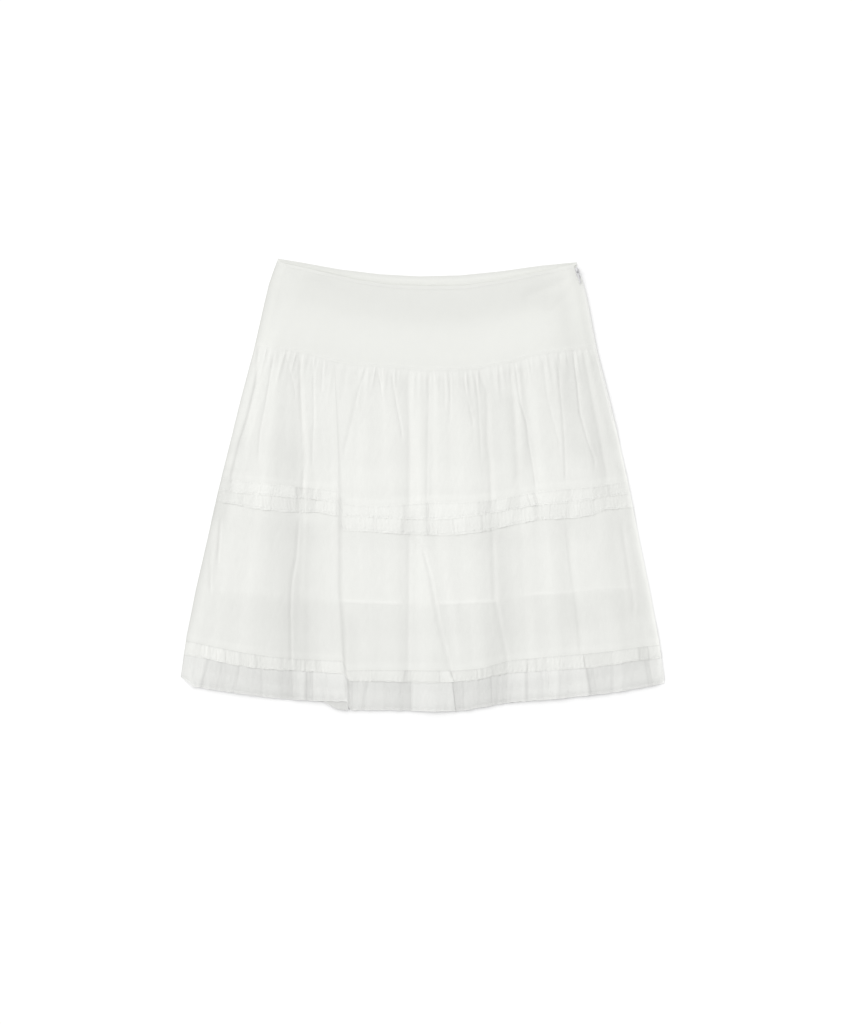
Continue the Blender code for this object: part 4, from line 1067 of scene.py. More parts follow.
def yoke_grid(cols):
    """Yoke's points: a plain panel whose lower edge follows the gathered seam, and lies over it as a
    stitched ridge."""
    foot = line_y(YOKE_SEAM, cols)
    share = across(front_grid(cols, foot[None, :])[0, :, 0], foot)[0][None, :]
    t = YOKE_ROWS[:, None]
    x = blend(left_side(foot), right_side(foot), share) + 0 * t
    for _ in range(4):
        y = blend(read_line(WAIST_FRONT, x), foot[None, :], t)
        x = blend(left_side(y), right_side(y) - slider_notch(y), share)
    y = blend(read_line(WAIST_FRONT, x), foot[None, :], t)
    on_lining = smooth(1 - (y - foot) / YOKE_SLOPE) * lining_side(x, y)
    lip = YOKE_LIP * smooth(from_side(x, y) / YOKE_LIP_EDGE) * (1 - smooth(t / YOKE_LIP_SHARE))
    z = above_seam(x, y) + zip_room(x, y) + lip + LINING_STEP * on_lining
    z = z + creased(x, y, YOKE_CREASES, down=False) + crumpled(x, y, YOKE_CRUMPLE)
    seams = ((y - foot, FOOT_RIDGE), (read_line(WAIST_FRONT, x) - y, WAIST_RIDGE))
    height = sum(ridge.height * bump(inward - ridge.at, ridge.width) for inward, ridge in seams)
    return np.stack([x, y, z + height * smooth(from_side(x, y) / RIDGE_SIDE)], axis=-1)


# Rows of the tiers: the upper one's, closer together at its top, and the lower one's above, along and below
# the lining's hem. TIER_TOP are its first rows above the yoke seam, and pieces that meet at a line end MEET
# off it.
TIER_TOP = (1.4, 0.4)
TIER_FOOT = 0.2
MEET = 0.3
UPPER_ROWS = 62
UPPER_ROW_POWER = 1.35
LOWER_ROWS = (30, 24)
LINING_HEM_REACH = (5, 4)
LINING_HEM_ROWS = (3.6, 2.4, 1.6, 0.8, 0.2, -0.4, -1.2)
# Seam allowances show above the frills: where, how wide, and how far they lift the cloth.
ALLOWANCE = Ridge(4.5, 4.0, 0.12)
# Where the painted highlight along the yoke's seam lies above it, and its width.
SEAM_HIGHLIGHT_AT = 1.5
# The lining's hem as it shows: where above its edge, how wide, how far it lifts the cloth, and how soft its
# edge is where it doesn't show and where it does.
LINING_HEM_LINE = Ridge(2.2, 1.9, 0.2)
LINING_EDGE = (9.0, 0.7)


def allowance_at(rows, seam):
    return bump(rows - seam - ALLOWANCE.at, ALLOWANCE.width, 4)


def build_front(m):
    yoke = yoke_grid(columns(YOKE_SPACING, YOKE_TURN_STEPS))
    x, y = yoke[..., 0], yoke[..., 1]
    # Painted shade bands on the yoke, and a painted highlight along its seam.
    tone = 1 + creased(x, y, YOKE_PAINTED_SHADES, down=False)
    tone = tone + SEAM_PAINTED_HIGHLIGHT * bump(y - yoke_seam(x) - SEAM_HIGHLIGHT_AT, SEAM_HIGHLIGHT_AT)
    piece = shell("yoke_front_cloth", yoke, LAWN, m["yoke"], shaded(yoke, tone))
    put_on(piece, "yoke_cotton", "yoke_front")
    stitch("yoke_seam_stitches", yoke, YOKE_SEAM_ROW, LAWN, m, "yoke_cotton")
    stitch("waist_stitches", yoke, WAIST_ROW, LAWN, m, "yoke_cotton", pitch=3.0)

    cols = columns(COLUMN_SPACING)
    seam, band_middle = line_y(YOKE_SEAM, cols), line_y(BAND_MIDDLE, cols)
    steps = np.linspace(0, 1, UPPER_ROWS) ** UPPER_ROW_POWER
    rows = [seam + TIER_TOP[0]] + [blend(seam + TIER_TOP[1], band_middle + MEET, t) for t in steps]
    rows = np.array(rows)
    grid = front_grid(cols, rows)
    allowance = allowance_at(rows, line_y(BAND_TOP, cols))
    grid[..., 2] += ALLOWANCE.height * allowance
    # Seam allowances show lighter through the cloth, and painted shade darkens it just below the yoke seam.
    tone = 1.0 + ALLOWANCE_TONE * allowance - GATHER_SHADE * bump(seam - rows, GATHER_SHADE_REACH)
    piece = shell("upper_tier_front_cloth", grid, VOILE, m["tier"], shaded(grid, tone))
    put_on(piece, "tier_cotton", "upper_tier_front")

    lining = line_y(LINING_HEM, cols)
    foot = line_y(HEM_MIDDLE, cols) + RUFFLE_TUCK + TIER_FOOT
    before, after = LINING_HEM_REACH
    rows = [blend(band_middle - MEET, lining + before, t) for t in np.linspace(0, 1, LOWER_ROWS[0])]
    rows += [lining + d for d in LINING_HEM_ROWS]
    rows += [blend(lining - after, foot, t) for t in np.linspace(0, 1, LOWER_ROWS[1])]
    rows = np.array(rows)
    grid = front_grid(cols, rows)
    above, x = rows - lining, grid[..., 0]
    clear = read_line(HEM_SHOWS, x)
    covered = smooth(0.5 + above / (2 * blend(*LINING_EDGE, clear))) * lining_side(x, rows)
    hem_line = bump(above - LINING_HEM_LINE.at, LINING_HEM_LINE.width) * clear
    allowance = allowance_at(rows, line_y(HEM_TOP, cols))
    # Darker where no lining lies under it, partly from fewer layers and partly painted shade; lighter over
    # the lining's hem and over seam allowances.
    tone = 1 - LINING_TONE * (1 - covered) + LINING_HEM_TONE * hem_line + ALLOWANCE_TONE * allowance
    grid[..., 2] += ALLOWANCE.height * allowance + LINING_HEM_LINE.height * hem_line
    piece = shell("lower_tier_front_cloth", grid, VOILE, m["tier"], shaded(grid, tone))
    put_on(piece, "tier_cotton", "lower_tier_front")


# ---------------------------------------------------------------- frills and ruffle

# A pleat takes at most this share of the way to the next one, and its turned layer this share of that.
PLEAT_SHARE = 0.45
LAP_SHARE = 0.9


def pleat_corners(run, place, last):
    """Corners (x, level, tone) of a pleated strip's section at this place, 0 at its top and 1 at its foot.
    Where a pleat is lapped, the cloth turns back under the higher one of its two sides."""
    edges = [blend(p.top, p.foot, place) for p in run] + [last]
    corners = [(edges[0], run[0].level, run[0].tone)]
    for k in range(1, len(run)):
        a, b, edge = run[k - 1], run[k], edges[k]
        left = min(PLEAT_REACH, PLEAT_SHARE * (edge - edges[k - 1]))
        right = min(PLEAT_REACH, PLEAT_SHARE * (edges[k + 1] - edge))
        lap = min(b.lap, LAP_SHARE * left, LAP_SHARE * right)
        apart = max(abs(b.level - a.level) / 2, PLEAT_LAYER if lap else 0.0)
        centre = max((a.level + b.level) / 2, apart)
        rising = b.level > a.level
        if lap:
            start, end = (lap, 0.0) if rising else (0.0, -lap)
            near, far = (centre - apart, centre + apart) if rising else (centre + apart, centre - apart)
            way = [(-left, a.level), (-0.4 * left, near), (start, near), (start, centre),
                   (end, centre), (end, far), (0.4 * right, far), (right, b.level)]
        else:
            way = [(-left, a.level), (-0.5 * left, a.level), (-0.2 * left, centre), (0.0, centre),
                   (0.0, centre), (0.2 * right, centre), (0.5 * right, b.level), (right, b.level)]
        # Painted shade darkens the cloth where each pleat begins.
        for n, (dx, level) in enumerate(way):
            tone = a.tone if n < 3 + rising else b.tone
            corners.append((edge + dx, level, tone - b.shade if 1 < n < 6 else tone))
    corners.append((last, run[-1].level, run[-1].tone))
    return np.array(corners)


def rounded(path, times=2):
    """A path with its corners cut off, its ends kept."""
    for _ in range(times):
        near, far = 0.75 * path[:-1] + 0.25 * path[1:], 0.25 * path[:-1] + 0.75 * path[1:]
        path = np.concatenate([path[:1], np.stack([near, far], axis=1).reshape(-1, path.shape[1]), path[-1:]])
    return path


def strip_rows(top_ends, foot_ends, runs, places, spacing=1.3):
    """Columns s, heights y, levels and tones of a pleated strip, as grids of rows. runs are its pleats left
    and right of the big fold's edge."""
    whole = np.arange(LAST + 1)
    parts = (whole[:FOLD_EDGE + 1], whole[FOLD_EDGE + 1:])
    turn_cols = FOLD_EDGE + np.linspace(0, 1, TURN_STEPS)[1:-1]
    counts, grid = {}, []
    for place in places:
        ends = blend(top_ends, foot_ends, place)
        at = column_x(whole, ends)
        row = []
        for n, (run, part) in enumerate(zip(runs, parts)):
            first, last = at[part[0]], at[part[-1]]
            run = [run[0]._replace(top=first, foot=first)] + run[1:]
            run = [p._replace(level=p.level * PRESSED) for p in run]
            path = rounded(pleat_corners(run, place, last))
            if n not in counts:
                steps = np.linalg.norm(np.diff(path[:, :2], axis=0), axis=1)
                counts[n] = np.maximum(1, np.ceil(steps / spacing)).astype(int)
            fine = [path[k] + (path[k + 1] - path[k]) * j / c for k, c in enumerate(counts[n])
                    for j in range(c)]
            fine = np.array(fine + [path[-1]])
            row.append(np.column_stack([np.interp(fine[:, 0], at[part], part), fine[:, 1:]]))
        t = (turn_cols - FOLD_EDGE)[:, None]
        over = np.column_stack([turn_cols, blend(row[0][-1, 1:], row[1][0, 1:], t)])
        row = np.concatenate([row[0], over, row[1]])
        grid.append(np.column_stack([row[:, 0], np.interp(row[:, 0], whole, ends), row[:, 1:]]))
    return np.moveaxis(np.array(grid), 2, 0)


# Crumpling of frills and ruffle: its size, number of waves, and how fast it changes down the strip.
FINE_WAVES = (4.2, 10, 3.0)
BROAD_WAVES = (13.0, 8, 6.0)
ROUGH_PITCH = 6.5
HEM_WANDER = (0.5, 17.0)
DIP_AT = 0.8
DIP_REACH = 0.2
STRIP_SIDE = 3
STRIP_LIFT = 0.15


def strip(name, lines, runs, material, lift, tuck=0.0, gathers=(0.25, 0.1), waves=(0.0, 0.3), rough=0.15,
          level_at_top=0.3, rise_by=0.4, thickness=VOILE, seed=1, places=STRIP_PLACES, dip=0.0,
          painted_edge_shading=(0.95, 1.0, 1.0, 1.01, 1.0)):
    """A frill or ruffle sewn on along its top line, the first of lines: grid and piece. lift is how far it
    lies off the front at its top and foot, gathers and waves are the heights of its fine and broad waves
    there, and dip is how far its foot comes down."""
    top, foot = lines
    s, y, level, tone = strip_rows(line_ends(top) + tuck, line_ends(foot), runs, places)
    t = np.array(places)[:, None]
    x = front_grid(s, y)[..., 0]
    inside = smooth(from_side(x, y) / STRIP_SIDE)

    def waved(kind, seed):
        pitch, number, change = kind
        return np.maximum(0.5 + 0.5 * crumple(x, t * change, pitch, seed, number), 0)

    out = blend(*lift, smooth(t * 1.3)) + level * blend(level_at_top, 1.0, smooth(t / rise_by))
    out = out + blend(*gathers, t) * waved(FINE_WAVES, seed) + blend(*waves, t) * waved(BROAD_WAVES, seed + 1)
    out = out + rough * crumple(x, y, ROUGH_PITCH, seed + 2) * smooth(t * 4)
    wander, pitch = HEM_WANDER
    y = y + wander * t * crumple(x, 0 * x, pitch, seed + 3)
    out = out - dip * smooth((t - DIP_AT) / DIP_REACH)
    in_turn = (s > FOLD_EDGE - 0.05) & (s < FOLD_EDGE + 1.05)
    over_turn = np.maximum(blend(*lift, t), 0.1) + level * 0.5
    out = np.where(in_turn, over_turn, out * inside + STRIP_LIFT)
    grid = front_grid(s, y, out)
    # Painted light and shade along the strip's top and foot.
    tone = tone * np.interp(places, PAINTED_EDGE_AT, painted_edge_shading)[:, None]
    body = np.full(len(places), thickness)
    body[-3:-1] += HEM_FOLD
    return grid, shell(name, grid, body[:, None], material, shaded(grid, tone))


def build_band(m):
    looks = {"gathers": (0.1, 0.05), "rough": 0.18, "thickness": FRILL}
    runs = (BAND_LOWER_LEFT, BAND_LOWER_RIGHT)
    grid, piece = strip("band_frill_lower_front_cloth", (BAND_MIDDLE, BAND_FOOT), runs, m["frill"],
                        (0.1, 0.12), tuck=3.0, waves=(0.0, 0.15), seed=21, **looks)
    put_on(piece, "frill_cotton", "band_frill_lower_front")
    stitch("band_frill_lower_hem_stitches", grid, HEM_ROW, VOILE, m)

    runs = (BAND_UPPER_LEFT, BAND_UPPER_RIGHT)
    # The upper frill is painted lighter along its top and foot.
    grid, piece = strip("band_frill_upper_front_cloth", (BAND_TOP, BAND_MIDDLE), runs, m["frill"],
                        (0.1, 0.27), waves=(0.0, 0.1), seed=31, painted_edge_shading=(1.01, 1.0, 1.0, 1.02, 1.04),
                        **looks)
    put_on(piece, "frill_cotton", "band_frill_upper_front")
    stitch("band_frill_upper_top_stitches", grid, TOP_ROW, VOILE, m)
    stitch("band_frill_upper_hem_stitches", grid, HEM_ROW, VOILE, m)


FOLD_UNDER_CRUMPLE = Crumple(0.1, 6.0, 71)


def fold_under():
    """Grid of the ruffle's layer that shows below the big fold."""
    first, last = FOLD_UNDER[0][0], FOLD_UNDER[-1][0]
    x, t = np.meshgrid(np.linspace(first, last, 24), np.linspace(0, 1, 12))
    y = blend(FOLD_UNDER_TOP, read_line(FOLD_UNDER, x), t)
    z = np.interp(x, (first, last), FOLD_UNDER_LEVEL) + crumpled(x, y, FOLD_UNDER_CRUMPLE)
    return np.stack([x, y, z], axis=-1)


def box_pleats():
    """The hem frill's box pleats, which rise and fall by turns, with painted light that is strongest on the
    left.
    """
    run = []
    for k, x in enumerate(BOX_PLEATS):
        tone = BOX_TONES[k % 2] + float(read_line(BOX_LIGHT, k))
        run.append(Pleat(x, x + BOX_SLANT, BOX_LEVELS[k % 2], tone, BOX_SHADE, BOX_LAPS[k % 2]))
    return run


def build_hem(m):
    # The ruffle is painted lighter along its top and foot.
    grid, piece = strip("hem_ruffle_front_cloth", (HEM_MIDDLE, HEM_FOOT), (RUFFLE_LEFT, RUFFLE_RIGHT),
                        m["ruffle"], (0.0, 0.2), tuck=RUFFLE_TUCK, gathers=(0.08, 0.0), rough=0.06,
                        level_at_top=0.25, rise_by=0.45, thickness=SHEER, seed=41, places=RUFFLE_PLACES,
                        dip=1.0, painted_edge_shading=(1.03, 1.03, 1.0, 1.01, 1.08))
    put_on(piece, "frill_cotton", "hem_ruffle_front")
    stitch("hem_ruffle_hem_stitches", grid, HEM_ROW, SHEER, m)

    grid = fold_under()
    # The layer's tone is darkened by painted shade.
    piece = shell("hem_ruffle_fold_cloth", grid, SHEER, m["ruffle"], shaded(grid, FOLD_UNDER_PAINTED_SHADE))
    put_on(piece, "frill_cotton")

    runs = (HEM_FIRST + box_pleats() + HEM_NEAR_FOLD, HEM_RIGHT)
    # The hem frill's tones: painted shade along its top, at its seam, and a little darker elsewhere.
    grid, piece = strip("hem_frill_front_cloth", (HEM_TOP, HEM_MIDDLE), runs, m["frill"], (0.15, 0.22),
                        gathers=(0.12, 0.08), waves=(0.0, 0.15), rough=0.12, seed=51,
                        painted_edge_shading=(0.85, 0.97, 0.97, 0.975, 0.975))
    put_on(piece, "frill_cotton", "hem_frill_front")
    stitch("hem_frill_top_stitches", grid, TOP_ROW, VOILE, m)
    stitch("hem_frill_hem_stitches", grid, HEM_ROW, VOILE, m)


# ---------------------------------------------------------------- back and lining

def flat_grid(lines, middle, inset=0.0, spacing=2.6, notch=0.0):
    """Points of a flat-lying piece: its rows are functions of x, its sides lie on the outline."""
    share = np.linspace(0, 1, int(2 * HALF_AT_HEM / spacing))
    rows = []
    for line in lines:
        x = blend(-HALF_AT_BAND, HALF_AT_BAND, share)
        for _ in range(4):
            y = line(x)
            x = blend(left_side(y) + inset, right_side(y) - inset - slider_notch(y, notch), share)
        rows.append(np.stack([x, y, middle(x, y)], axis=-1))
    return np.array(rows)


def between(first, last, number, power=1.0):
    """Rows from one line to another."""
    return [lambda x, t=t: blend(first(x), last(x), t) for t in np.linspace(0, 1, number) ** power]


# Creases of the back's tiers: how many, and the range of their heights, widths and lengths.
Ridges = namedtuple("Ridges", "number heights widths lengths")
BROAD_RIDGES = Ridges(22, (0.3, 0.9), (4.0, 9.0), (90.0, 230.0))
FINE_RIDGES = Ridges(58, (0.15, 0.5), (1.4, 2.8), (14.0, 50.0))
RIDGE_LEAN = 0.06
RIDGE_SPREAD = 220.0
RIDGE_START = 0.3
RIDGE_GROWTH = 8
RIDGE_FADE_AT = 3
RIDGE_POWER = 1.8
HIGHEST_RIDGE = 1.3
BACK_FRILL_CRUMPLE = 0.45
BACK_FRILL_PITCH = 7.0
BACK_FRILL_SIDE = 12.0


def ridges(x, y, top, kind, seed):
    """Uneven ridges that run down the skirt from a line, spread as it flares."""
    share, width = across(x, y)
    drop = top(x) - y
    growth = blend(RIDGE_START, 1.0, smooth(drop / RIDGE_GROWTH))
    total = np.zeros_like(x, dtype=float)
    for k in range(kind.number):
        at = (k + 0.5 + uneven(k + seed, -0.35, 0.35)) / kind.number
        off = (share - at) * width - uneven(3 * k + seed, -RIDGE_LEAN, RIDGE_LEAN) * drop
        spread = uneven(5 * k + seed, *kind.widths) * (1 + drop / RIDGE_SPREAD)
        fade = 1 - smooth((drop - RIDGE_FADE_AT) / uneven(7 * k + seed, *kind.lengths))
        total += uneven(2 * k + seed, *kind.heights) * growth * fade * bump(off, spread, RIDGE_POWER)
    return total * smooth(from_side(x, y) / CREASE_SIDE)


def back_yoke(x, y):
    return BACK_MID + under_zip(x, y)


def back_tier(top, seed):
    def middle(x, y):
        relief = ridges(x, y, top, BROAD_RIDGES, seed) + ridges(x, y, top, FINE_RIDGES, seed + 3)
        return BACK_MID + back_rise(x, y) + under_zip(x, y) + np.minimum(relief, HIGHEST_RIDGE)
    return middle


def back_frill(seed):
    def middle(x, y):
        height = BACK_FRILL_CRUMPLE * np.maximum(0, crumple(x, y * 0.3, BACK_FRILL_PITCH, seed))
        return BACK_MID + height * smooth(from_side(x, y) / BACK_FRILL_SIDE)
    return middle


BackPiece = namedtuple("BackPiece", "name lines middle cloth slot flat thickness area held",
                       defaults=(VOILE, None, "gathered"))
BACK_PIECES = [
    BackPiece("yoke_back", between(waist_back, moved(yoke_seam, 0.4), 24), back_yoke, "yoke", "yoke_cotton",
              (0.41, 0.155), LAWN, 0.048, "laid"),
    BackPiece("upper_tier_back", between(moved(yoke_seam, 1.0), moved(back_band, MEET), 44, 1.3),
              back_tier(yoke_seam, 2), "tier", "tier_cotton", (0.58, 0.175)),
    BackPiece("lower_tier_back", between(moved(back_band, -MEET), moved(back_ruffle_top, MEET), 44),
              back_tier(back_band, 9), "tier", "tier_cotton", (0.66, 0.20)),
    BackPiece("band_frill_upper_back", between(back_band_top, moved(back_band, MEET), 9),
              back_frill(61), "frill", "frill_cotton", (0.56, 0.0175)),
    BackPiece("band_frill_lower_back", between(moved(back_band, -MEET), back_band_foot, 9),
              back_frill(62), "frill", "frill_cotton", (0.56, 0.0175)),
    BackPiece("hem_frill_back", between(back_hem_frill_top, back_hem_frill_foot, 9),
              back_frill(63), "frill", "frill_cotton", (0.66, 0.0145)),
    BackPiece("hem_ruffle_back", between(back_ruffle_top, back_hem_foot, 20),
              back_tier(back_ruffle_top, 5), "ruffle", "frill_cotton", (0.74, 0.036), SHEER),
]


def build_back(m):
    for p in BACK_PIECES:
        is_yoke = p.name == "yoke_back"
        grid = flat_grid(p.lines, p.middle, spacing=1.9, notch=BACK_NOTCH if is_yoke else 0.0)
        tone = 1.0
        if is_yoke:
            # Painted light on the back yoke, with painted shade along its waist.
            rim = bump(waist_back(grid[..., 0]) - grid[..., 1], RIM_REACH)
            tone = YOKE_BACK_PAINTED_LIGHT - WAIST_RIM_SHADE * rim
        piece = put_on(shell(p.name + "_cloth", grid, p.thickness, m[p.cloth], tone), p.slot, p.name)


# The lining's rows above its hem, and those of its turned-up hem.
LINING_ROWS = 30
LINING_FOOT_ROWS = (4.5, 3.8, 3.0, 1.5, 0.3, 0.0)
LINING_CRUMPLE = Crumple(0.08, 30.0, 8)


def lining_at(level):
    def middle(x, y):
        rise = blend(2 * BACK_MID, level, lining_side(x, y)) + back_rise(x, y)
        return rise + crumpled(x, y * 0.4, LINING_CRUMPLE)
    return middle


def build_lining(m):
    """Two plain panels with a turned-up hem."""
    lines = between(moved(yoke_seam, -MEET), moved(lining_hem, 6.0), LINING_ROWS)
    lines += [moved(lining_hem, d) for d in LINING_FOOT_ROWS]
    body = np.full((len(lines), 1), LINING)
    body[-5:-1] += HEM_FOLD
    for name, level in (("lining_back", LINING_BACK_MID), ("lining_front", LINING_FRONT_MID)):
        grid = flat_grid(lines, lining_at(level), inset=LINING_INSET, spacing=4.0)
        piece = put_on(shell(name + "_cloth", grid, body, m["lining"]), "lining_cotton", name)


# ---------------------------------------------------------------- zip

# The coil: its turns' pitch, its wire, how far in from the seam's edge it lies, and its half width and
# height.
COIL_PITCH = 1.15
COIL_WIRE = 0.28
COIL_INSET = 1.6
COIL_HALF_WIDTH = 0.62
COIL_HALF_HEIGHT = 0.42
COIL_STEPS = 10
COIL_SIDES = 5
# The tape reaches a little above the slider, and has a soft rib in its weave.
TAPE_CLOTH = 0.45
TAPE_ABOVE = 1.0
TAPE_ROWS = 60
TAPE_COLUMNS = 9
TAPE_RIB = 0.05
TAPE_RIB_RATE = 2.2


def ring_of(number):
    """Angles of the corners of a ring."""
    return np.linspace(0, 2 * math.pi, number, endpoint=False)


def solid_from(name, loops, material, smooth_angle=40):
    """A closed solid from rings of points, in millimetres, each with as many as the last, capped at its
    ends."""
    faces = ring_faces(0, len(loops), len(loops[0]))
    obj = add_mesh(name, np.concatenate(loops), faces, material)
    turn_faces_out(obj.data)
    set_sharp(obj.data, smooth_angle)
    return obj


def build_tape(m):
    """Woven tape with the coil along its edge."""
    heights = np.linspace(SLIDER_AT[1] - SLIDER_LENGTH / 2 - TAPE_ABOVE, ZIP_END, TAPE_ROWS)[:, None]
    off = np.linspace(-TAPE_WIDTH, 0.0, TAPE_COLUMNS)
    rib = TAPE_MID + TAPE_RIB * np.sin(off * TAPE_RIB_RATE)
    grid = np.stack([right_side(heights) - COIL_INSET + off, heights + 0 * off, rib + 0 * heights], axis=-1)
    piece = put_on(shell("zip_tape_cloth", grid, TAPE_CLOTH, m["tape"]), "zip_tape", "zip_tape")

    top, foot = heights[0, 0], heights[-1, 0]
    turns = int((top - foot) / COIL_PITCH)
    angle = np.linspace(0, 2 * math.pi * turns, turns * COIL_STEPS)
    y = blend(top, foot, angle / angle[-1])
    centre = np.stack([right_side(y) - COIL_INSET + COIL_HALF_WIDTH * np.cos(angle), y,
                       TAPE_MID + COIL_HALF_HEIGHT * np.sin(angle)], axis=-1)
    ahead = np.gradient(centre, axis=0)
    ahead /= np.linalg.norm(ahead, axis=1)[:, None]
    side = np.cross(ahead, (0.0, 1.0, 0.0))
    side /= np.linalg.norm(side, axis=1)[:, None]
    up = np.cross(side, ahead)
    ring = np.arange(COIL_SIDES) * 2 * math.pi / COIL_SIDES
    loops = [c + COIL_WIRE * (np.outer(np.cos(ring), s) + np.outer(np.sin(ring), u))
             for c, s, u in zip(centre, side, up)]
    put_on(solid_from("zip_coil", loops, m["coil"], 60), "zip_tape")


def on_zip(points, height):
    """Points about the slider's middle, turned and placed as the slider is, in millimetres."""
    c, s = math.cos(SLIDER_TURN), math.sin(SLIDER_TURN)
    p = np.asarray(points, float)
    return np.stack([SLIDER_AT[0] + p[:, 0] * c - p[:, 1] * s, SLIDER_AT[1] + p[:, 0] * s + p[:, 1] * c,
                     height + p[:, 2]], axis=-1)


def squared(value, squareness):
    """A circle's sine or cosine, drawn out towards a square's."""
    return math.copysign(abs(value) ** squareness, value)


def pillow(outline, low, high, edge):
    """Rings that make a plate with rounded edges from an outline of (x, y) points."""
    outline = np.asarray(outline, float)
    away = outline - outline.mean(axis=0)
    away /= np.linalg.norm(away, axis=1)[:, None]
    near = 0.3 * edge
    rings = []
    for z, inward in ((low, edge), (low + near, near), (low + edge, 0.0), (high - edge, 0.0),
                      (high - near, near), (high, edge)):
        rings.append(np.column_stack([outline - away * inward, np.full(len(outline), z)]))
    return rings


# The slider: its outline's squareness and narrow end, its plates' thicknesses and rounding, and its neck's
# share of the outline and distance from underside and top.
SLIDER_SQUARENESS = 0.55
SLIDER_NARROW = 0.72
UNDER_PLATE = 0.9
TOP_PLATE = 1.0
PLATE_EDGE = 0.3
NECK_SHARE = (0.45, 0.8)
NECK_AT = (0.7, 0.8)
NECK_EDGE = 0.1
BAIL_ROOT = 0.4


def build_slider(m):
    """Slider: two plates narrow at the closed coil's end, with a bridge between and the bail on top."""
    outline = []
    for a in ring_of(28):
        x, y = squared(math.cos(a), SLIDER_SQUARENESS), squared(math.sin(a), SLIDER_SQUARENESS)
        narrow = blend(SLIDER_NARROW, 1.0, (y + 1) / 2)
        outline.append((SLIDER_WIDTH / 2 * x * narrow, SLIDER_LENGTH / 2 * y))
    neck = [(x * NECK_SHARE[0], y * NECK_SHARE[1]) for x, y in outline]
    height = SLIDER_TOP - SLIDER_BOTTOM

    def plate(name, shape, low, high, edge, *nodes):
        loops = [on_zip(r, SLIDER_BOTTOM) for r in pillow(shape, low, high, edge)]
        put_on(solid_from(name, loops, m["metal"]), "zip_metal", *nodes)

    plate("zip_slider_under", outline, 0.0, UNDER_PLATE, PLATE_EDGE)
    plate("zip_slider_top", outline, height - TOP_PLATE, height, PLATE_EDGE, "zip_slider")
    plate("zip_slider_neck", neck, NECK_AT[0], height - NECK_AT[1], NECK_EDGE)
    loops = []
    for a in np.linspace(0.0, math.pi, 17):
        rise = height - BAIL_ROOT + (BAIL_HEIGHT + BAIL_ROOT) * math.sin(a)
        centre = np.array([0.0, BAIL_REACH * math.cos(a), rise])
        out = np.array([0.0, math.cos(a), math.sin(a)])
        ring = [centre + out * BAIL_WALL / 2 * math.sin(b) + np.array([BAIL_WIDTH / 2 * math.cos(b), 0, 0])
                for b in ring_of(10)]
        loops.append(on_zip(ring, SLIDER_BOTTOM))
    put_on(solid_from("zip_bail", loops, m["metal"]), "zip_metal")


# The pull tab: its head's rounded corners, how far it narrows to the blade, the squareness of its section,
# and the window round the bail.
HEAD_CORNER = 1.2
BLADE_START = 0.4
BLADE_TAPER = 2.4
LEAST_WIDTH = 0.2
PULL_SQUARENESS = (0.6, 0.7)
WINDOW_GAP = 0.1
WINDOW_DEPTH = 3.0


def pull_width(y):
    """Half the pull tab's width at this place along it, from its pin."""
    head, blade = PULL_HEAD_WIDTH / 2, PULL_BLADE_WIDTH / 2
    width = blend(head, blade, smooth((-y - PULL_WINDOW_END - BLADE_START) / BLADE_TAPER))
    top, foot = PULL_WALL / 2 - y, y + PULL_LENGTH
    if top < HEAD_CORNER:
        round_off = math.sqrt(max(0.0, HEAD_CORNER ** 2 - (HEAD_CORNER - top) ** 2))
        width = min(width, head - HEAD_CORNER + round_off)
    if foot < blade:
        width = min(width, math.sqrt(max(LEAST_WIDTH ** 2, blade ** 2 - (blade - foot) ** 2)))
    return width


def build_pull(m):
    """Pull tab: an eye round the bail, a neck and a long drop with rounded edges."""
    half = PULL_WALL / 2
    height = SLIDER_TOP + PIN_HEIGHT
    top, foot = -half - WINDOW_GAP, -PULL_WINDOW_END
    loops = []
    for y in np.concatenate([np.linspace(half, -half, 5), np.linspace(top, foot, 8),
                             np.linspace(foot - BLADE_START, -PULL_LENGTH, 26)]):
        width = pull_width(y)
        shape = [(squared(math.cos(a), PULL_SQUARENESS[0]) * width, y,
                  squared(math.sin(a), PULL_SQUARENESS[1]) * half) for a in ring_of(20)]
        loops.append(on_zip(shape, height))
    piece = solid_from("zip_pull_tab", loops, m["metal"])

    cutter = bpy.data.meshes.new("window")
    bm = bmesh.new()
    bmesh.ops.create_cube(bm, size=1.0)
    size = np.array([PULL_WINDOW_WIDTH, top - foot, WINDOW_DEPTH])
    corners = on_zip([size * v.co + (0, (top + foot) / 2, 0) for v in bm.verts], height)
    for v, corner in zip(bm.verts, corners * MM):
        v.co = corner
    bm.to_mesh(cutter)
    bm.free()
    tool = new_object("window", cutter)
    cut = piece.modifiers.new("window", "BOOLEAN")
    cut.operation, cut.solver, cut.object = "DIFFERENCE", "EXACT", tool
    done = bpy.data.meshes.new_from_object(piece.evaluated_get(bpy.context.evaluated_depsgraph_get()))
    piece.modifiers.clear()
    piece.data = done
    bpy.data.objects.remove(tool)
    set_sharp(done, 40)
    put_on(piece, "zip_metal", "zip_pull", body=PULL)


# ---------------------------------------------------------------- camera, light and floor

CAMERA_AT = (4.7, -31.6, 3333.0)
LENS = 100.0
SENSOR = 36.0
VIEW_DEPTH = 100.0
KEY_FROM = (-0.50, 0.50, 0.70)
KEY_STRENGTH = 2.1
KEY_SOFTNESS = 80.0
ROOM_STRENGTH = 0.64
FLOOR_HALF = 6.0
FLOOR_WHITE = 0.915
FLOOR_GLOW = 0.03


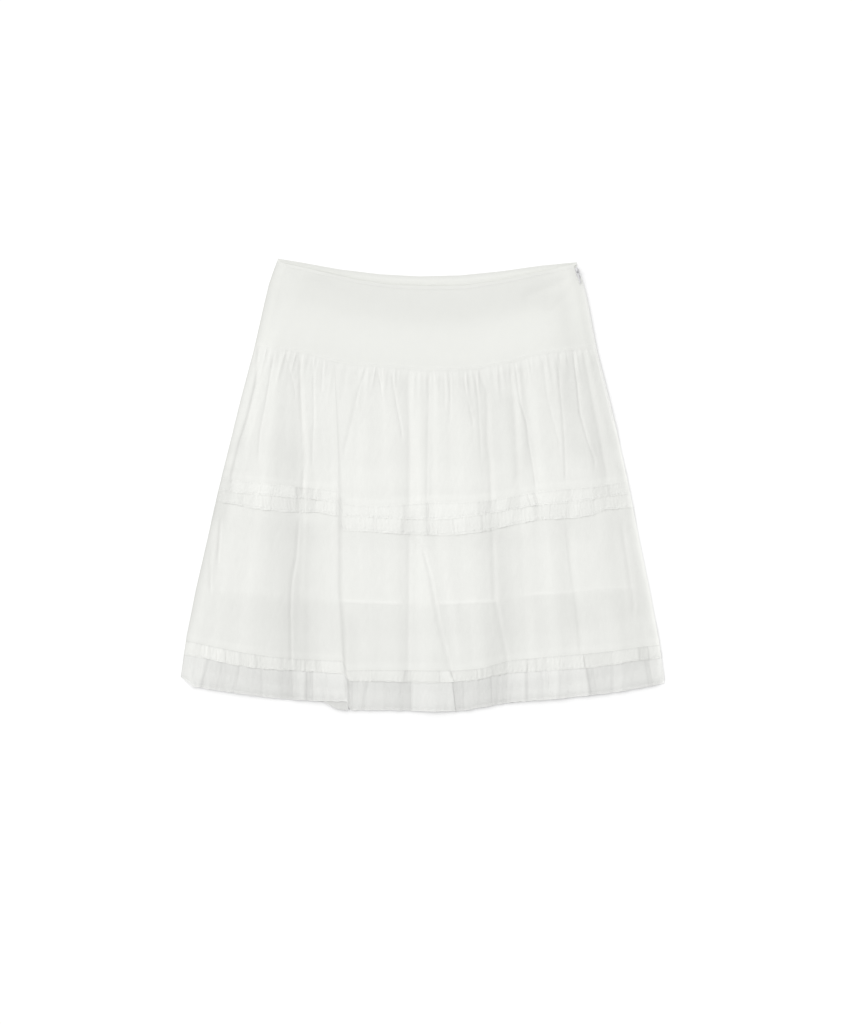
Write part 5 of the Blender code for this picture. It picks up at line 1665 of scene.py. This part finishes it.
def build_stage():
    scene = bpy.context.scene
    camera = bpy.data.cameras.new("camera")
    camera.lens, camera.sensor_width, camera.clip_end = LENS, SENSOR, VIEW_DEPTH
    scene.camera = new_object("camera", camera)
    scene.camera.location = [c * MM for c in CAMERA_AT]

    world = bpy.data.worlds.new("studio")
    world.use_nodes = True
    background = world.node_tree.nodes["Background"]
    background.inputs[0].default_value = (1.0, 1.0, 1.0, 1.0)
    background.inputs[1].default_value = ROOM_STRENGTH
    scene.world = world

    sun = bpy.data.lights.new("key", "SUN")
    sun.energy, sun.angle = KEY_STRENGTH, math.radians(KEY_SOFTNESS)
    new_object("key", sun).rotation_euler = Vector(KEY_FROM).to_track_quat("Z", "Y").to_euler()

    bm = bmesh.new()
    bmesh.ops.create_grid(bm, x_segments=8, y_segments=8, size=FLOOR_HALF)
    mesh = bpy.data.meshes.new("floor")
    bm.to_mesh(mesh)
    bm.free()
    mesh.materials.append(paper("paper", FLOOR_WHITE, FLOOR_GLOW))
    new_object("floor", mesh)
    scene.view_settings.view_transform = "Standard"


def main():
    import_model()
    build_stage()
    # Cottons: colour, thread pitch in millimetres, strength of relief, slubs and mottle.
    m = {
        "yoke": cotton("yoke_cotton", (0.775, 0.781, 0.750), 0.40, 0.35, 0.25, 0.015),
        "tier": cotton("tier_cotton", (0.80, 0.805, 0.776), 0.46, 0.4, 0.4, 0.03),
        "frill": cotton("frill_cotton", (0.805, 0.81, 0.781), 0.46, 0.4, 0.4, 0.03),
        "ruffle": cotton("ruffle_cotton", (0.88, 0.884, 0.862), 0.46, 0.4, 0.4, 0.03, see_through=0.2),
        "lining": cotton("lining_cotton", (0.80, 0.804, 0.775), 0.40, 0.3, 0.2, 0.02),
        "tape": cotton("zip_tape_cloth", (0.76, 0.76, 0.76), 0.55, 0.6, 0.1, 0.02),
        "thread": sewing_thread("sewing_thread", (0.84, 0.84, 0.83)),
        "coil": sewing_thread("zip_coil_nylon", (0.78, 0.78, 0.78)),
        "metal": metal("zip_metal", (0.62, 0.62, 0.63), roughness=0.55, metallic=0.3),
    }
    for build in (build_front, build_band, build_hem, build_back, build_lining, build_tape, build_slider,
                  build_pull):
        build(m)


main()
